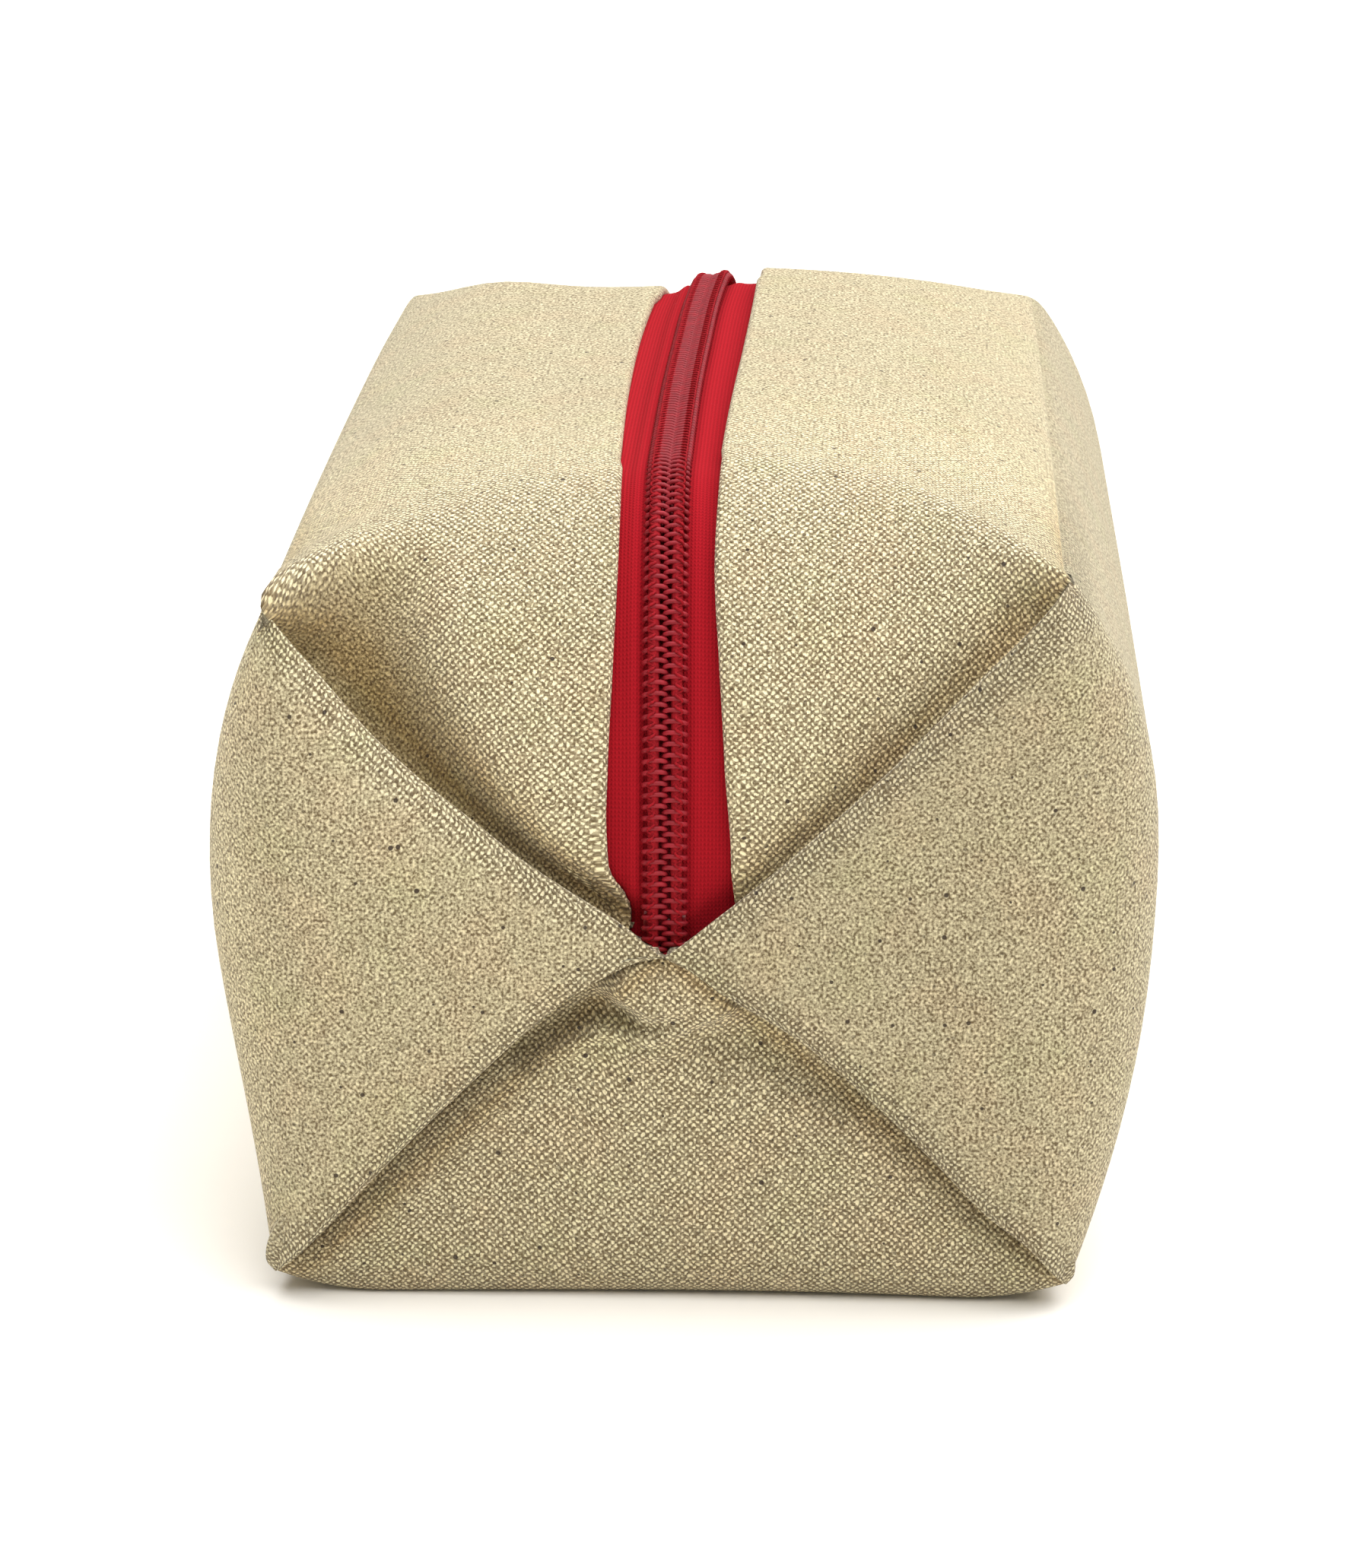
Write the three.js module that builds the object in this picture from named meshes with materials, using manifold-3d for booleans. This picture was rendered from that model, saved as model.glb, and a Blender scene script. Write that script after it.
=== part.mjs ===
// A box shaped canvas pouch with a coil zip that runs down one end, over the top and down the other end.
// Millimetres, +X to the right, +Y along the pouch away from the viewer, +Z up, base on z = 0.
// Each end is folded like a wrapped parcel: top and bottom panels meet at a hidden seam across
// the middle, and the side panels carry on as two triangular flaps that lie over them.
import * as THREE from "three";
import { mergeVertices } from "three/addons/utils/BufferGeometryUtils.js";
import Module from "manifold-3d";

const wasm = await Module();
wasm.setup();

// Pouch, outside
const bagLength = 212;
const bagHeight = 109.5;
const cornerReach = 53; // from the middle plane to a top corner
const baseReach = 52.5; // from the middle plane to a base corner
const leftCornerDrop = 12.5; // below the top of the bag
const rightCornerDrop = 7.5;
const baseCornerRise = 3;
const seamHeight = 50.8; // the hidden end seam, where the flap tips meet
const leftBulge = 9; // near the ends
const leftMiddleBulge = 4.2; // half way along the pouch
const rightBulge = 12.2;
const leftLeanShare = 0.44; // how much the swell of a side leans to its upper half
const rightLeanShare = 0.1;
const baseFlatShare = 0.72;
const domePower = 2.2;

// Rounding of the ends: depth along Y, and reach across the end face
const frontTopDepth = 39;
const rearStraightLength = 13.7; // of the zip, above the rear end seam, before it turns over the top
const sideDepth = 15.8;
const sideReach = 24.7;
const baseDepth = 7;
const baseReachIn = 8;
const cornerDepth = 6;
const cornerReachIn = 8;
const topSpreadPower = 3;

// Cloth and folds
const clothThickness = 0.9;
const flapThickness = 2.7; // folded cloth, doubled, with its crease
const flapProud = 3.6; // outer face of a flap over the panel behind it
const pocketDepth = 7; // how far the opening under a flap's edge goes in
const baseRightFoldSag = 2.9; // of each fold line, towards the flap
const topRightFoldSag = 0.6;
const topLeftFoldSag = 4;
const baseLeftFoldSag = 3.4;
const foldEdgeShare = 0.1;
const foldPocketShare = 0.5;
const foldFillShare = 0.75; // of the gap under a flap's edge that its own thickness may fill
const foldFadePower = 8;
const leftSwellPower = 2;
const rightSwellPower = 2.4;
const flapLayerPower = 4;
const pocketPower = 0.5;

// End seam, inside
const seamAllowance = 10;
const seamThickness = 2.7;
const seamReach = 44;
const bindingThickness = 0.8;
const bindingLap = 7; // how far it reaches back over the seam allowance

// Zip: depths are counted inwards from the outside of the canvas beside it
const clearance = 0.3; // between pieces that touch
const slotHalfWidth = 7.35;
const hemWidth = 8;
const tapeThickness = 0.6;
const tapeInnerEdge = 1.15;
const tapeOuterEdge = 16;
const toothPitch = 1.5;
const coilHalfWidth = 3.1;
const coilThickness = 2.3;
const coilCrestOverlap = 0.45; // a crest reaches this far past the middle
const coilRibRelief = 0.55;
const coilNoseThickness = 1.1;
const coilGap = 0.36; // along X between the two zigzags
const coilStart = 5.2; // above the end seam, at the front
const coilEnd = 9.6; // above the end seam, at the rear
const partingStart = 19; // above the rear end seam, where the coils begin to part
const partingLength = 4.8;
const partingSpread = 1.5;

// Stops, above the end seam
const bottomStopLow = 2.8;
const bottomStopHigh = 4.8;
const topStopLow = 6.9;
const topStopHigh = 9;
const stopPlate = 0.7;
const stopReach = 3.4;
const stopWeb = 0.55;

// Slider
const sliderHeight = 15.4; // its middle, above the rear end seam
const sliderLength = 11.4;
const sliderTailHalfWidth = 4.2;
const sliderHeadHalfWidth = 5.7;
const sliderTaperStart = 1.7; // from the tail
const sliderShoulder = 4.6; // from the head
const sliderPlate = 1;
const sliderFlange = 0.7;
const sliderSlack = 0.06; // between plates and chain, beside the room that the chain's curve takes
const dividerHalfWidth = 0.8;
const dividerLength = 4.2;
const capHalfWidth = 1.5;
const capThickness = 0.7;
const capLength = 8.4;
const capArch = 2.4; // free height under the cap
const lugHeight = 0.8;
const springThickness = 0.35;
const springHalfWidth = 0.9;
const pinHalfWidth = 0.45;

// Pull tab
const pullWidth = 6.6;
const pullLength = 25;
const pullThickness = 1.3;
const pullEyeLength = 8;
const pullBar = 1.3;
const pullTipRadius = 3.1;
const pullLean = 0.12; // radians from hanging straight: it leans on the flap tips
const pullPivotShare = 0.18; // of the cap's length, from its middle towards the slider's head

// Facets
const endSteps = 11;
const sectorSteps = 8;
const bodySteps = 7;
const bandStep = 4.5;
const rollSteps = 4;
const seamCurveSteps = 6;
const plateCurveSteps = 4;
const capCurveSteps = 5;
const zipLineDivisions = 400;
const poleShare = 0.02;
const overrun = 3; // how far a cut runs past what it cuts
const weldTolerance = 1e-4;

const half = bagLength / 2;
const topRise = bagHeight - seamHeight;
const rearTopRadius = topRise - rearStraightLength;
const leftCornerHeight = bagHeight - leftCornerDrop;
const rightCornerHeight = bagHeight - rightCornerDrop;
const domeHeight = (leftCornerDrop + rightCornerDrop) / 2;
const tapeDrop = domeHeight * (tapeOuterEdge / cornerReach) ** domePower; // the tape follows the dome
const frontPlane = -half + flapProud;
const rearPlane = half - flapProud;

// Sectors of the pouch's cross section, counted round from the base right corner.
const RIGHT = 0;
const TOP = 1;
const LEFT = 2;
const BASE = 3;
const isFlapSector = (sector) => sector === RIGHT || sector === LEFT;

const blend = (a, b, share) => a + (b - a) * share;

function outlineCorner(index) {
  const corners = [
    [baseReach, baseCornerRise],
    [cornerReach, rightCornerHeight],
    [-cornerReach, leftCornerHeight],
    [-baseReach, baseCornerRise],
  ];
  return new THREE.Vector2(...corners[index % corners.length]);
}

// A point of the pouch's cross section. Across runs from -1 to 1 over one sector, and middle is 0
// at the ends of the pouch and 1 half way along it.
function outline(sector, across, middle) {
  const point = outlineCorner(sector).lerp(outlineCorner(sector + 1), (1 + across) / 2);
  if (sector === RIGHT) {
    const swell = 1 - Math.abs(across) ** rightSwellPower;
    point.x += rightBulge * swell * (1 + rightLeanShare * across);
  }
  if (sector === LEFT) {
    const swell = 1 - Math.abs(across) ** leftSwellPower;
    point.x -= blend(leftBulge, leftMiddleBulge, middle) * swell * (1 - leftLeanShare * across);
  }
  if (sector === TOP) point.y += domeHeight * (1 - Math.abs(across) ** domePower);
  if (sector === BASE) {
    const rise = Math.max(0, Math.abs(across) - baseFlatShare) / (1 - baseFlatShare);
    point.y = baseCornerRise * rise ** 2;
  }
  return point;
}

// How far the surface has turned back along Y at a share of the way out to the outline.
function turnBack(share, depth, reach, size) {
  const flat = Math.max(0, 1 - reach / size);
  const turned = Math.max(0, share - flat) / (1 - flat);
  return depth * (1 - Math.sqrt(Math.max(0, 1 - turned ** 2)));
}

// Setback of the end surface from the outermost plane of the flaps.
function setback(sector, across, share, isRear) {
  const size = outline(sector, across, 0).distanceTo(new THREE.Vector2(0, seamHeight));
  if (isFlapSector(sector)) {
    const middle = 1 - across ** 2;
    return turnBack(
      share,
      blend(cornerDepth, sideDepth, middle),
      blend(cornerReachIn, sideReach, middle),
      size,
    );
  }
  const inner = cornerDepth - flapProud;
  if (sector === BASE) {
    const middle = 1 - across ** 2;
    return flapProud + turnBack(
      share,
      blend(inner, baseDepth - flapProud, middle),
      blend(cornerReachIn, baseReachIn, middle),
      size,
    );
  }
  const middle = 1 - Math.abs(across * share) ** topSpreadPower;
  const topDepth = isRear ? rearTopRadius : frontTopDepth;
  const topReach = isRear ? rearTopRadius : topRise;
  return flapProud + turnBack(
    share,
    blend(inner, topDepth, middle),
    blend(cornerReachIn, topReach, middle),
    topRise,
  );
}

// Direction in the end face from a flap towards the panel beside it.
function foldAcross(corner) {
  const along = outlineCorner(corner).sub(new THREE.Vector2(0, seamHeight)).normalize();
  const left = new THREE.Vector2(-along.y, along.x);
  return isFlapSector(corner % 4) ? left.negate() : left;
}

const foldSags = [baseRightFoldSag, topRightFoldSag, topLeftFoldSag, baseLeftFoldSag];

// Shift of a fold line in the end face, fading to nothing in the middle of each sector.
function foldShift(sector, across, share) {
  const corner = across < 0 ? sector : (sector + 1) % 4;
  const amount = -foldSags[corner] * 4 * share * (1 - share) * across ** 2;
  return foldAcross(corner).multiplyScalar(amount);
}

function endPoint(sector, across, share, isRear, middle = 0, depth = 0) {
  const flat = outline(sector, across, middle).sub(new THREE.Vector2(0, seamHeight));
  flat.multiplyScalar(share).add(foldShift(sector, across, share));
  const y = half - setback(sector, across, share, isRear) - depth;
  return new THREE.Vector3(flat.x, isRear ? y : -y, seamHeight + flat.y);
}

// Columns across one sector of an end face, from corner to corner, closer together at the corners.
function sectorColumns() {
  return Array.from({ length: sectorSteps + 1 }, (_, i) => {
    const across = Math.sin((i / sectorSteps - 1 / 2) * Math.PI);
    return Math.abs(across) > 1 - weldTolerance ? Math.sign(across) : across;
  });
}

// The rolled edge of a flap and the open pocket behind it, listed from the flap to the panel.
function foldStrip(corner, share, isRear) {
  const flapSector = isFlapSector(corner) ? corner : (corner + 3) % 4;
  const flapSide = flapSector === corner ? -1 : 1;
  const panelSector = flapSector === corner ? (corner + 3) % 4 : corner;
  const edge = endPoint(flapSector, flapSide, share, isRear);
  const floor = endPoint(panelSector, -flapSide, share, isRear);
  const gap = Math.abs(floor.y - edge.y);
  const fade = Math.sqrt(1 - share ** foldFadePower);
  const size = share * cornerReach;
  const roundest = Math.min(flapThickness / 2, (gap * foldFillShare) / 2, size * foldEdgeShare);
  const radius = roundest * fade;
  const pocket = Math.max(Math.min(pocketDepth, size * foldPocketShare) * fade, radius);
  const inwards = isRear ? -1 : 1;
  const direction = foldAcross(corner);
  const at = (across, depth) =>
    new THREE.Vector3(
      edge.x + direction.x * across,
      edge.y + inwards * depth,
      edge.z + direction.y * across,
    );
  const roll = Array.from({ length: rollSteps + 1 }, (_, i) => {
    const angle = (i / rollSteps) * Math.PI;
    return at(-radius + radius * Math.sin(angle), radius * (1 - Math.cos(angle)));
  });
  return [...roll, at(-pocket, 2 * radius), at(-pocket, gap), floor];
}

// One closed row of points round an end face, with its four folds.
function endRow(share, isRear, middle = 0) {
  const row = [];
  for (let sector = 0; sector < 4; sector++) {
    const columns = sectorColumns().slice(1, -1);
    const fold = foldStrip(sector, share, isRear);
    row.push(...(isFlapSector(sector) ? fold.reverse() : fold));
    row.push(...columns.map((across) => endPoint(sector, across, share, isRear, middle)));
  }
  return row;
}

// Depth of the inner surface behind the outer one: one cloth, and behind a flap its folded layers too.
function liningDepth(sector, across, share, isRear) {
  if (!isFlapSector(sector)) return clothThickness;
  const side = across < 0 ? -1 : 1;
  const panelSector = (sector + 4 + side) % 4;
  const edge = endPoint(sector, side, share, isRear);
  const floor = endPoint(panelSector, -side, share, isRear);
  const gap = Math.abs(floor.y - edge.y);
  const layers = flapProud * (1 - share ** flapLayerPower);
  return clothThickness + blend(layers, gap, Math.abs(across) ** pocketPower);
}

// The same row without folds, moved inwards by the thickness of the cloth there.
function innerRow(share, isRear, middle = 0) {
  const row = [];
  for (let sector = 0; sector < 4; sector++) {
    for (const across of sectorColumns().slice(0, -1)) {
      const depth = liningDepth(sector, across, share, isRear);
      const point = endPoint(sector, across, share, isRear, middle, depth);
      point.x *= 1 - clothThickness / cornerReach;
      point.z = blend(seamHeight, point.z, 1 - clothThickness / seamHeight);
      row.push(point);
    }
  }
  return row;
}

const endShares = [
  poleShare,
  ...Array.from({ length: endSteps }, (_, i) => Math.sin(((i + 1) / endSteps) * (Math.PI / 2))),
];

function bagRows(rowOf) {
  const front = endShares.map((share) => rowOf(share, false));
  const rear = endShares.map((share) => rowOf(share, true)).reverse();
  const body = Array.from({ length: bodySteps - 1 }, (_, i) => {
    const share = (i + 1) / bodySteps;
    const middle = 4 * share * (1 - share);
    const rearRow = rowOf(1, true, middle);
    return rowOf(1, false, middle).map((point, column) => point.lerp(rearRow[column], share));
  });
  return [...front, ...body, ...rear];
}

// Closes rows of points into a solid, each end with one point.
function closeRows(rows, first, last) {
  const width = rows[0].length;
  const positions = [first, ...rows.flat(), last].flatMap((point) => [point.x, point.y, point.z]);
  const index = [];
  const at = (row, column) => 1 + row * width + (column % width);
  const end = 1 + rows.length * width;
  for (let column = 0; column < width; column++) {
    index.push(0, at(0, column), at(0, column + 1));
    index.push(end, at(rows.length - 1, column + 1), at(rows.length - 1, column));
    for (let row = 0; row + 1 < rows.length; row++) {
      index.push(at(row, column), at(row + 1, column), at(row + 1, column + 1));
      index.push(at(row, column), at(row + 1, column + 1), at(row, column + 1));
    }
  }
  const geometry = new THREE.BufferGeometry();
  geometry.setAttribute("position", new THREE.Float32BufferAttribute(positions, 3));
  geometry.setIndex(index);
  return geometry;
}

function toSolid(geometry) {
  const bare = geometry.clone();
  bare.deleteAttribute("normal");
  bare.deleteAttribute("uv");
  const merged = mergeVertices(bare, weldTolerance);
  const kept = [];
  for (let i = 0; i < merged.index.count; i += 3) {
    const [a, b, c] = [0, 1, 2].map((corner) => merged.index.getX(i + corner));
    if (a !== b && b !== c && a !== c) kept.push(a, b, c);
  }
  const made = new wasm.Manifold(
    new wasm.Mesh({
      numProp: 3,
      vertProperties: Float32Array.from(merged.attributes.position.array),
      triVerts: Uint32Array.from(kept),
    }),
  );
  if (made.volume() <= 0) throw new Error("a solid is inside out");
  return made;
}

// A straight extrusion of a shape along its own Z.
function extrude(shape, depth, curveSegments) {
  return new THREE.ExtrudeGeometry(shape, { depth, bevelEnabled: false, curveSegments });
}

function toGeometry(solid) {
  const mesh = solid.getMesh();
  const geometry = new THREE.BufferGeometry();
  geometry.setAttribute("position", new THREE.BufferAttribute(mesh.vertProperties, mesh.numProp));
  geometry.setIndex(new THREE.BufferAttribute(mesh.triVerts, 1));
  geometry.computeVertexNormals();
  return geometry;
}

// The zip's line in the middle plane, as (y, z), from the front end seam to the rear one.
function makeZipLine() {
  const line = new THREE.Path();
  const frontCentre = frontPlane + frontTopDepth;
  const rearCentre = rearPlane - rearTopRadius;
  line.absellipse(frontCentre, seamHeight, frontTopDepth, topRise, Math.PI, Math.PI / 2, true);
  line.lineTo(rearCentre, bagHeight);
  line.absarc(rearCentre, bagHeight - rearTopRadius, rearTopRadius, Math.PI / 2, 0, true);
  line.lineTo(rearPlane, seamHeight);
  line.arcLengthDivisions = zipLineDivisions;
  return line;
}
const zipLine = makeZipLine();
const zipLength = zipLine.getLength();

// A point at a length along the zip, a distance across it and a depth inwards from the canvas.
function zipPoint(along, across, depth) {
  const share = THREE.MathUtils.clamp(along / zipLength, 0, 1);
  const point = zipLine.getPointAt(share);
  const tangent = zipLine.getTangentAt(share);
  return new THREE.Vector3(across, point.x + tangent.y * depth, point.y - tangent.x * depth);
}

// Joins sections, each a closed loop of points, into a solid with flat ends.
function loft(sections) {
  const sum = (loop) => loop.reduce((total, point) => total.add(point), new THREE.Vector3());
  const centre = (loop) => sum(loop).divideScalar(loop.length);
  return closeRows(sections, centre(sections[0]), centre(sections.at(-1)));
}

// A band along the zip between two lengths; its section comes from a function of the length.
function zipBand(from, to, sectionAt, step = bandStep) {
  const count = Math.max(1, Math.ceil((to - from) / step));
  const sections = Array.from({ length: count + 1 }, (_, i) => {
    const along = blend(from, to, i / count);
    return sectionAt(along).map(([across, depth]) => zipPoint(along, across, depth));
  });
  return loft(sections);
}

// Canvas
function makeCanvasShell() {
  const pole = (plane, depth) => new THREE.Vector3(0, plane + depth, seamHeight);
  const outside = toSolid(closeRows(bagRows(endRow), pole(-half, 0), pole(half, 0)));
  const innerDepth = flapProud + clothThickness;
  const innerPoles = [pole(-half, innerDepth), pole(half, -innerDepth)];
  const inside = toSolid(closeRows(bagRows(innerRow), ...innerPoles));
  const hemReach = slotHalfWidth + hemWidth;
  const hemDepth = 2 * clothThickness;
  const hem = toSolid(
    zipBand(0, zipLength, () => [
      [-hemReach, hemDepth + tapeDrop],
      [-slotHalfWidth, hemDepth],
      [slotHalfWidth, hemDepth],
      [hemReach, hemDepth + tapeDrop],
      [hemReach, -overrun],
      [-hemReach, -overrun],
    ]),
  );
  const slotStart = bottomStopLow - clearance;
  const covered = slotHalfWidth + overrun;
  const slot = toSolid(
    zipBand(slotStart, zipLength - slotStart, (along) => {
      const isCovered = Math.min(along, zipLength - along) < covered;
      const top = isCovered ? -clearance : -overrun;
      return [
        [-slotHalfWidth, hemDepth + overrun],
        [slotHalfWidth, hemDepth + overrun],
        [slotHalfWidth, top],
        [-slotHalfWidth, top],
      ];
    }),
  );
  let shell = outside.subtract(inside.subtract(hem)).subtract(slot);
  for (const side of [-1, 1]) shell = shell.add(toSolid(makeSeamAllowance(side)));
  return toGeometry(shell);
}

// Where the end seam's inner edge lies, on the front or the rear.
const seamInnerEdge = half - flapProud - clothThickness - seamAllowance;

function makeSeamAllowance(side) {
  const length = seamAllowance + clothThickness + flapThickness / 2;
  const geometry = new THREE.BoxGeometry(2 * seamReach, length, seamThickness);
  geometry.translate(0, side * (seamInnerEdge + length / 2), seamHeight);
  return geometry;
}

// Binding folded over the raw edges of the end seam.
function makeSeamBinding(side) {
  const inner = seamThickness / 2 + clearance;
  const outer = inner + bindingThickness;
  const back = bindingLap;
  const front = -clearance - bindingThickness;
  const shape = new THREE.Shape();
  shape.moveTo(back, inner);
  shape.lineTo(back, outer);
  shape.lineTo(front + bindingThickness, outer);
  shape.absarc(-clearance, 0, outer, Math.PI / 2, (3 * Math.PI) / 2, false);
  shape.lineTo(back, -outer);
  shape.lineTo(back, -inner);
  shape.lineTo(-clearance, -inner);
  shape.absarc(-clearance, 0, inner, (3 * Math.PI) / 2, Math.PI / 2, true);
  shape.closePath();
  const geometry = extrude(shape, 2 * seamReach, seamCurveSteps);
  geometry.translate(0, 0, -seamReach);
  const place = new THREE.Matrix4().makeBasis(
    new THREE.Vector3(0, side, 0),
    new THREE.Vector3(0, 0, 1),
    new THREE.Vector3(side, 0, 0),
  );
  place.setPosition(0, side * seamInnerEdge, seamHeight);
  return geometry.applyMatrix4(place);
}

// Zip tape and coil, side -1 left and 1 right
const tapeOuterFace = 2 * clothThickness + clearance;
const tapeInnerFace = tapeOuterFace + tapeThickness;
const tapeStart = seamThickness / 2 + clearance;

function mirrorSection(section, side) {
  const placed = section.map(([across, depth]) => [side * across, depth]);
  return side < 0 ? placed.reverse() : placed;
}

function makeTape(side) {
  const section = [
    [tapeInnerEdge, tapeInnerFace],
    [tapeOuterEdge, tapeInnerFace + tapeDrop],
    [tapeOuterEdge, tapeOuterFace + tapeDrop],
    [tapeInnerEdge, tapeOuterFace],
  ];
  return zipBand(tapeStart, zipLength - tapeStart, () => mirrorSection(section, side));
}

// How far each coil stands aside at a length along the zip.
function parting(along) {
  const start = zipLength - partingStart;
  return partingSpread * THREE.MathUtils.smoothstep(along, start, start + partingLength);
}

function makeCoil(side) {
  const bottom = tapeOuterFace - clearance;
  const top = bottom - coilThickness;
  const nose = bottom - coilNoseThickness;
  const first = Math.ceil(coilStart / toothPitch) * 2;
  const last = Math.floor((zipLength - coilEnd) / toothPitch) * 2;
  const sections = [];
  for (let step = first; step <= last; step++) {
    const along = (step * toothPitch) / 2;
    const isCrest = step % 2 === (side < 0 ? 0 : 1);
    const aside = parting(along);
    const inner = (isCrest ? -coilCrestOverlap : coilCrestOverlap) + coilGap / 2 + aside;
    const crown = isCrest ? top : top + coilRibRelief;
    const section = [
      [inner, bottom],
      [coilHalfWidth + aside, bottom],
      [coilHalfWidth + aside - coilRibRelief, crown],
      [inner, nose],
    ];
    sections.push(mirrorSection(section, side).map(([across, depth]) => zipPoint(along, across, depth)));
  }
  return loft(sections);
}

// Stops are metal clips that close over the tape's inner edge.
const stopOuterSeat = tapeOuterFace - clearance;
const stopInnerSeat = tapeInnerFace + clearance;

// The two plates of a stop on one side of the zip, from the inner one to the outer one.
function stopPlates(webEdge) {
  return [
    [stopReach, stopInnerSeat + stopPlate],
    [stopReach, stopInnerSeat],
    [webEdge, stopInnerSeat],
    [webEdge, stopOuterSeat],
    [stopReach, stopOuterSeat],
    [stopReach, stopOuterSeat - stopPlate],
  ];
}

function makeTopStop(side) {
  const web = clearance / 2;
  const section = [
    [web, stopInnerSeat + stopPlate],
    ...stopPlates(web + stopWeb),
    [web, stopOuterSeat - stopPlate],
  ];
  return onZip(sectionPrism(mirrorSection(section, side), -topStopHigh, -topStopLow), zipLength);
}

function makeBottomStop() {
  const right = stopPlates(tapeInnerEdge - clearance);
  const left = right.map(([across, depth]) => [-across, depth]).reverse();
  return onZip(sectionPrism([...right, ...left], bottomStopLow, bottomStopHigh), 0);
}

// A straight prism whose section lies across the zip, between two lengths along it.
function sectionPrism(section, from, to) {
  const shape = new THREE.Shape(section.map(([across, depth]) => new THREE.Vector2(across, depth)));
  return extrude(shape, to - from).translate(0, 0, from);
}

// Places geometry drawn as (across, depth, along) with its origin at a length along the zip.
function onZip(geometry, along) {
  const origin = zipPoint(along, 0, 0);
  const inwards = zipPoint(along, 0, 1).sub(origin);
  const across = new THREE.Vector3(1, 0, 0);
  const forwards = new THREE.Vector3().crossVectors(across, inwards);
  const place = new THREE.Matrix4().makeBasis(across, inwards, forwards).setPosition(origin);
  return geometry.applyMatrix4(place);
}

function block(across, depth, along) {
  const sides = [across, depth, along];
  const geometry = new THREE.BoxGeometry(...sides.map(([from, to]) => to - from));
  return toSolid(geometry.translate(...sides.map(([from, to]) => (from + to) / 2)));
}

// Slider, drawn round its own middle; its head, where the coils part, looks along +along.
const sliderAlong = zipLength - sliderHeight;
const coilTopDepth = tapeOuterFace - clearance - coilThickness;
const upperPlateInside = coilTopDepth - clearance;
const chainSagitta = rearTopRadius - Math.sqrt(rearTopRadius ** 2 - (sliderLength / 2) ** 2);
const lowerPlateInside = tapeInnerFace + clearance + chainSagitta + sliderSlack;
const upperPlateOutside = upperPlateInside - sliderPlate;
const capInside = capLength / 2 - capThickness - clearance;

function sliderOutline() {
  const head = sliderLength / 2;
  const taper = sliderTaperStart - head;
  const shoulder = head - sliderShoulder;
  const round = sliderHeadHalfWidth - dividerHalfWidth;
  const shape = new THREE.Shape();
  shape.moveTo(-sliderTailHalfWidth, -head);
  shape.lineTo(sliderTailHalfWidth, -head);
  shape.lineTo(sliderTailHalfWidth, taper);
  shape.lineTo(sliderHeadHalfWidth, shoulder);
  shape.quadraticCurveTo(sliderHeadHalfWidth, head, sliderHeadHalfWidth - round / 2, head);
  shape.lineTo(round / 2 - sliderHeadHalfWidth, head);
  shape.quadraticCurveTo(-sliderHeadHalfWidth, head, -sliderHeadHalfWidth, shoulder);
  shape.lineTo(-sliderTailHalfWidth, taper);
  shape.closePath();
  return shape;
}

// A plate of an outline drawn as (across, along), between two depths.
function plate(shape, depthFrom, depthTo) {
  const geometry = extrude(shape, depthTo - depthFrom, plateCurveSteps);
  const place = new THREE.Matrix4().makeBasis(
    new THREE.Vector3(1, 0, 0),
    new THREE.Vector3(0, 0, 1),
    new THREE.Vector3(0, -1, 0),
  );
  return toSolid(geometry.applyMatrix4(place).translate(0, depthTo, 0));
}

function makeSliderBody() {
  const shape = sliderOutline();
  const upper = plate(shape, upperPlateOutside, tapeOuterFace - clearance);
  const lower = plate(shape, lowerPlateInside, lowerPlateInside + sliderPlate);
  const length = sliderLength + 2 * overrun;
  const channel = plate(channelOutline(length), upperPlateInside, tapeOuterFace);
  const divider = block(
    [-dividerHalfWidth, dividerHalfWidth],
    [upperPlateInside - sliderPlate / 2, lowerPlateInside + sliderPlate / 2],
    [sliderLength / 2 - dividerLength, sliderLength / 2],
  );
  let body = upper.subtract(channel).add(lower).add(divider);
  const pinHole = block(
    [-pinHalfWidth - clearance, pinHalfWidth + clearance],
    [upperPlateOutside - overrun, upperPlateInside + clearance],
    [-capInside - clearance, -capInside + 2 * pinHalfWidth + clearance],
  );
  const lug = block(
    [-springHalfWidth, springHalfWidth],
    [upperPlateOutside - lugHeight, upperPlateOutside + sliderPlate / 2],
    [capInside - lugHeight, capInside],
  );
  body = body.subtract(pinHole).add(lug);
  return onZip(toGeometry(body), sliderAlong);
}

// The Y shaped channel that the two coils run in.
function channelOutline(length) {
  const tail = sliderTailHalfWidth - sliderFlange;
  const head = sliderHeadHalfWidth - sliderFlange;
  const taper = sliderTaperStart - sliderLength / 2;
  const shoulder = sliderLength / 2 - sliderShoulder;
  const shape = new THREE.Shape();
  shape.moveTo(-tail, -length / 2);
  shape.lineTo(tail, -length / 2);
  shape.lineTo(tail, taper);
  shape.lineTo(head, shoulder);
  shape.lineTo(head, length / 2);
  shape.lineTo(-head, length / 2);
  shape.lineTo(-head, shoulder);
  shape.lineTo(-tail, taper);
  shape.closePath();
  return shape;
}

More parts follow.
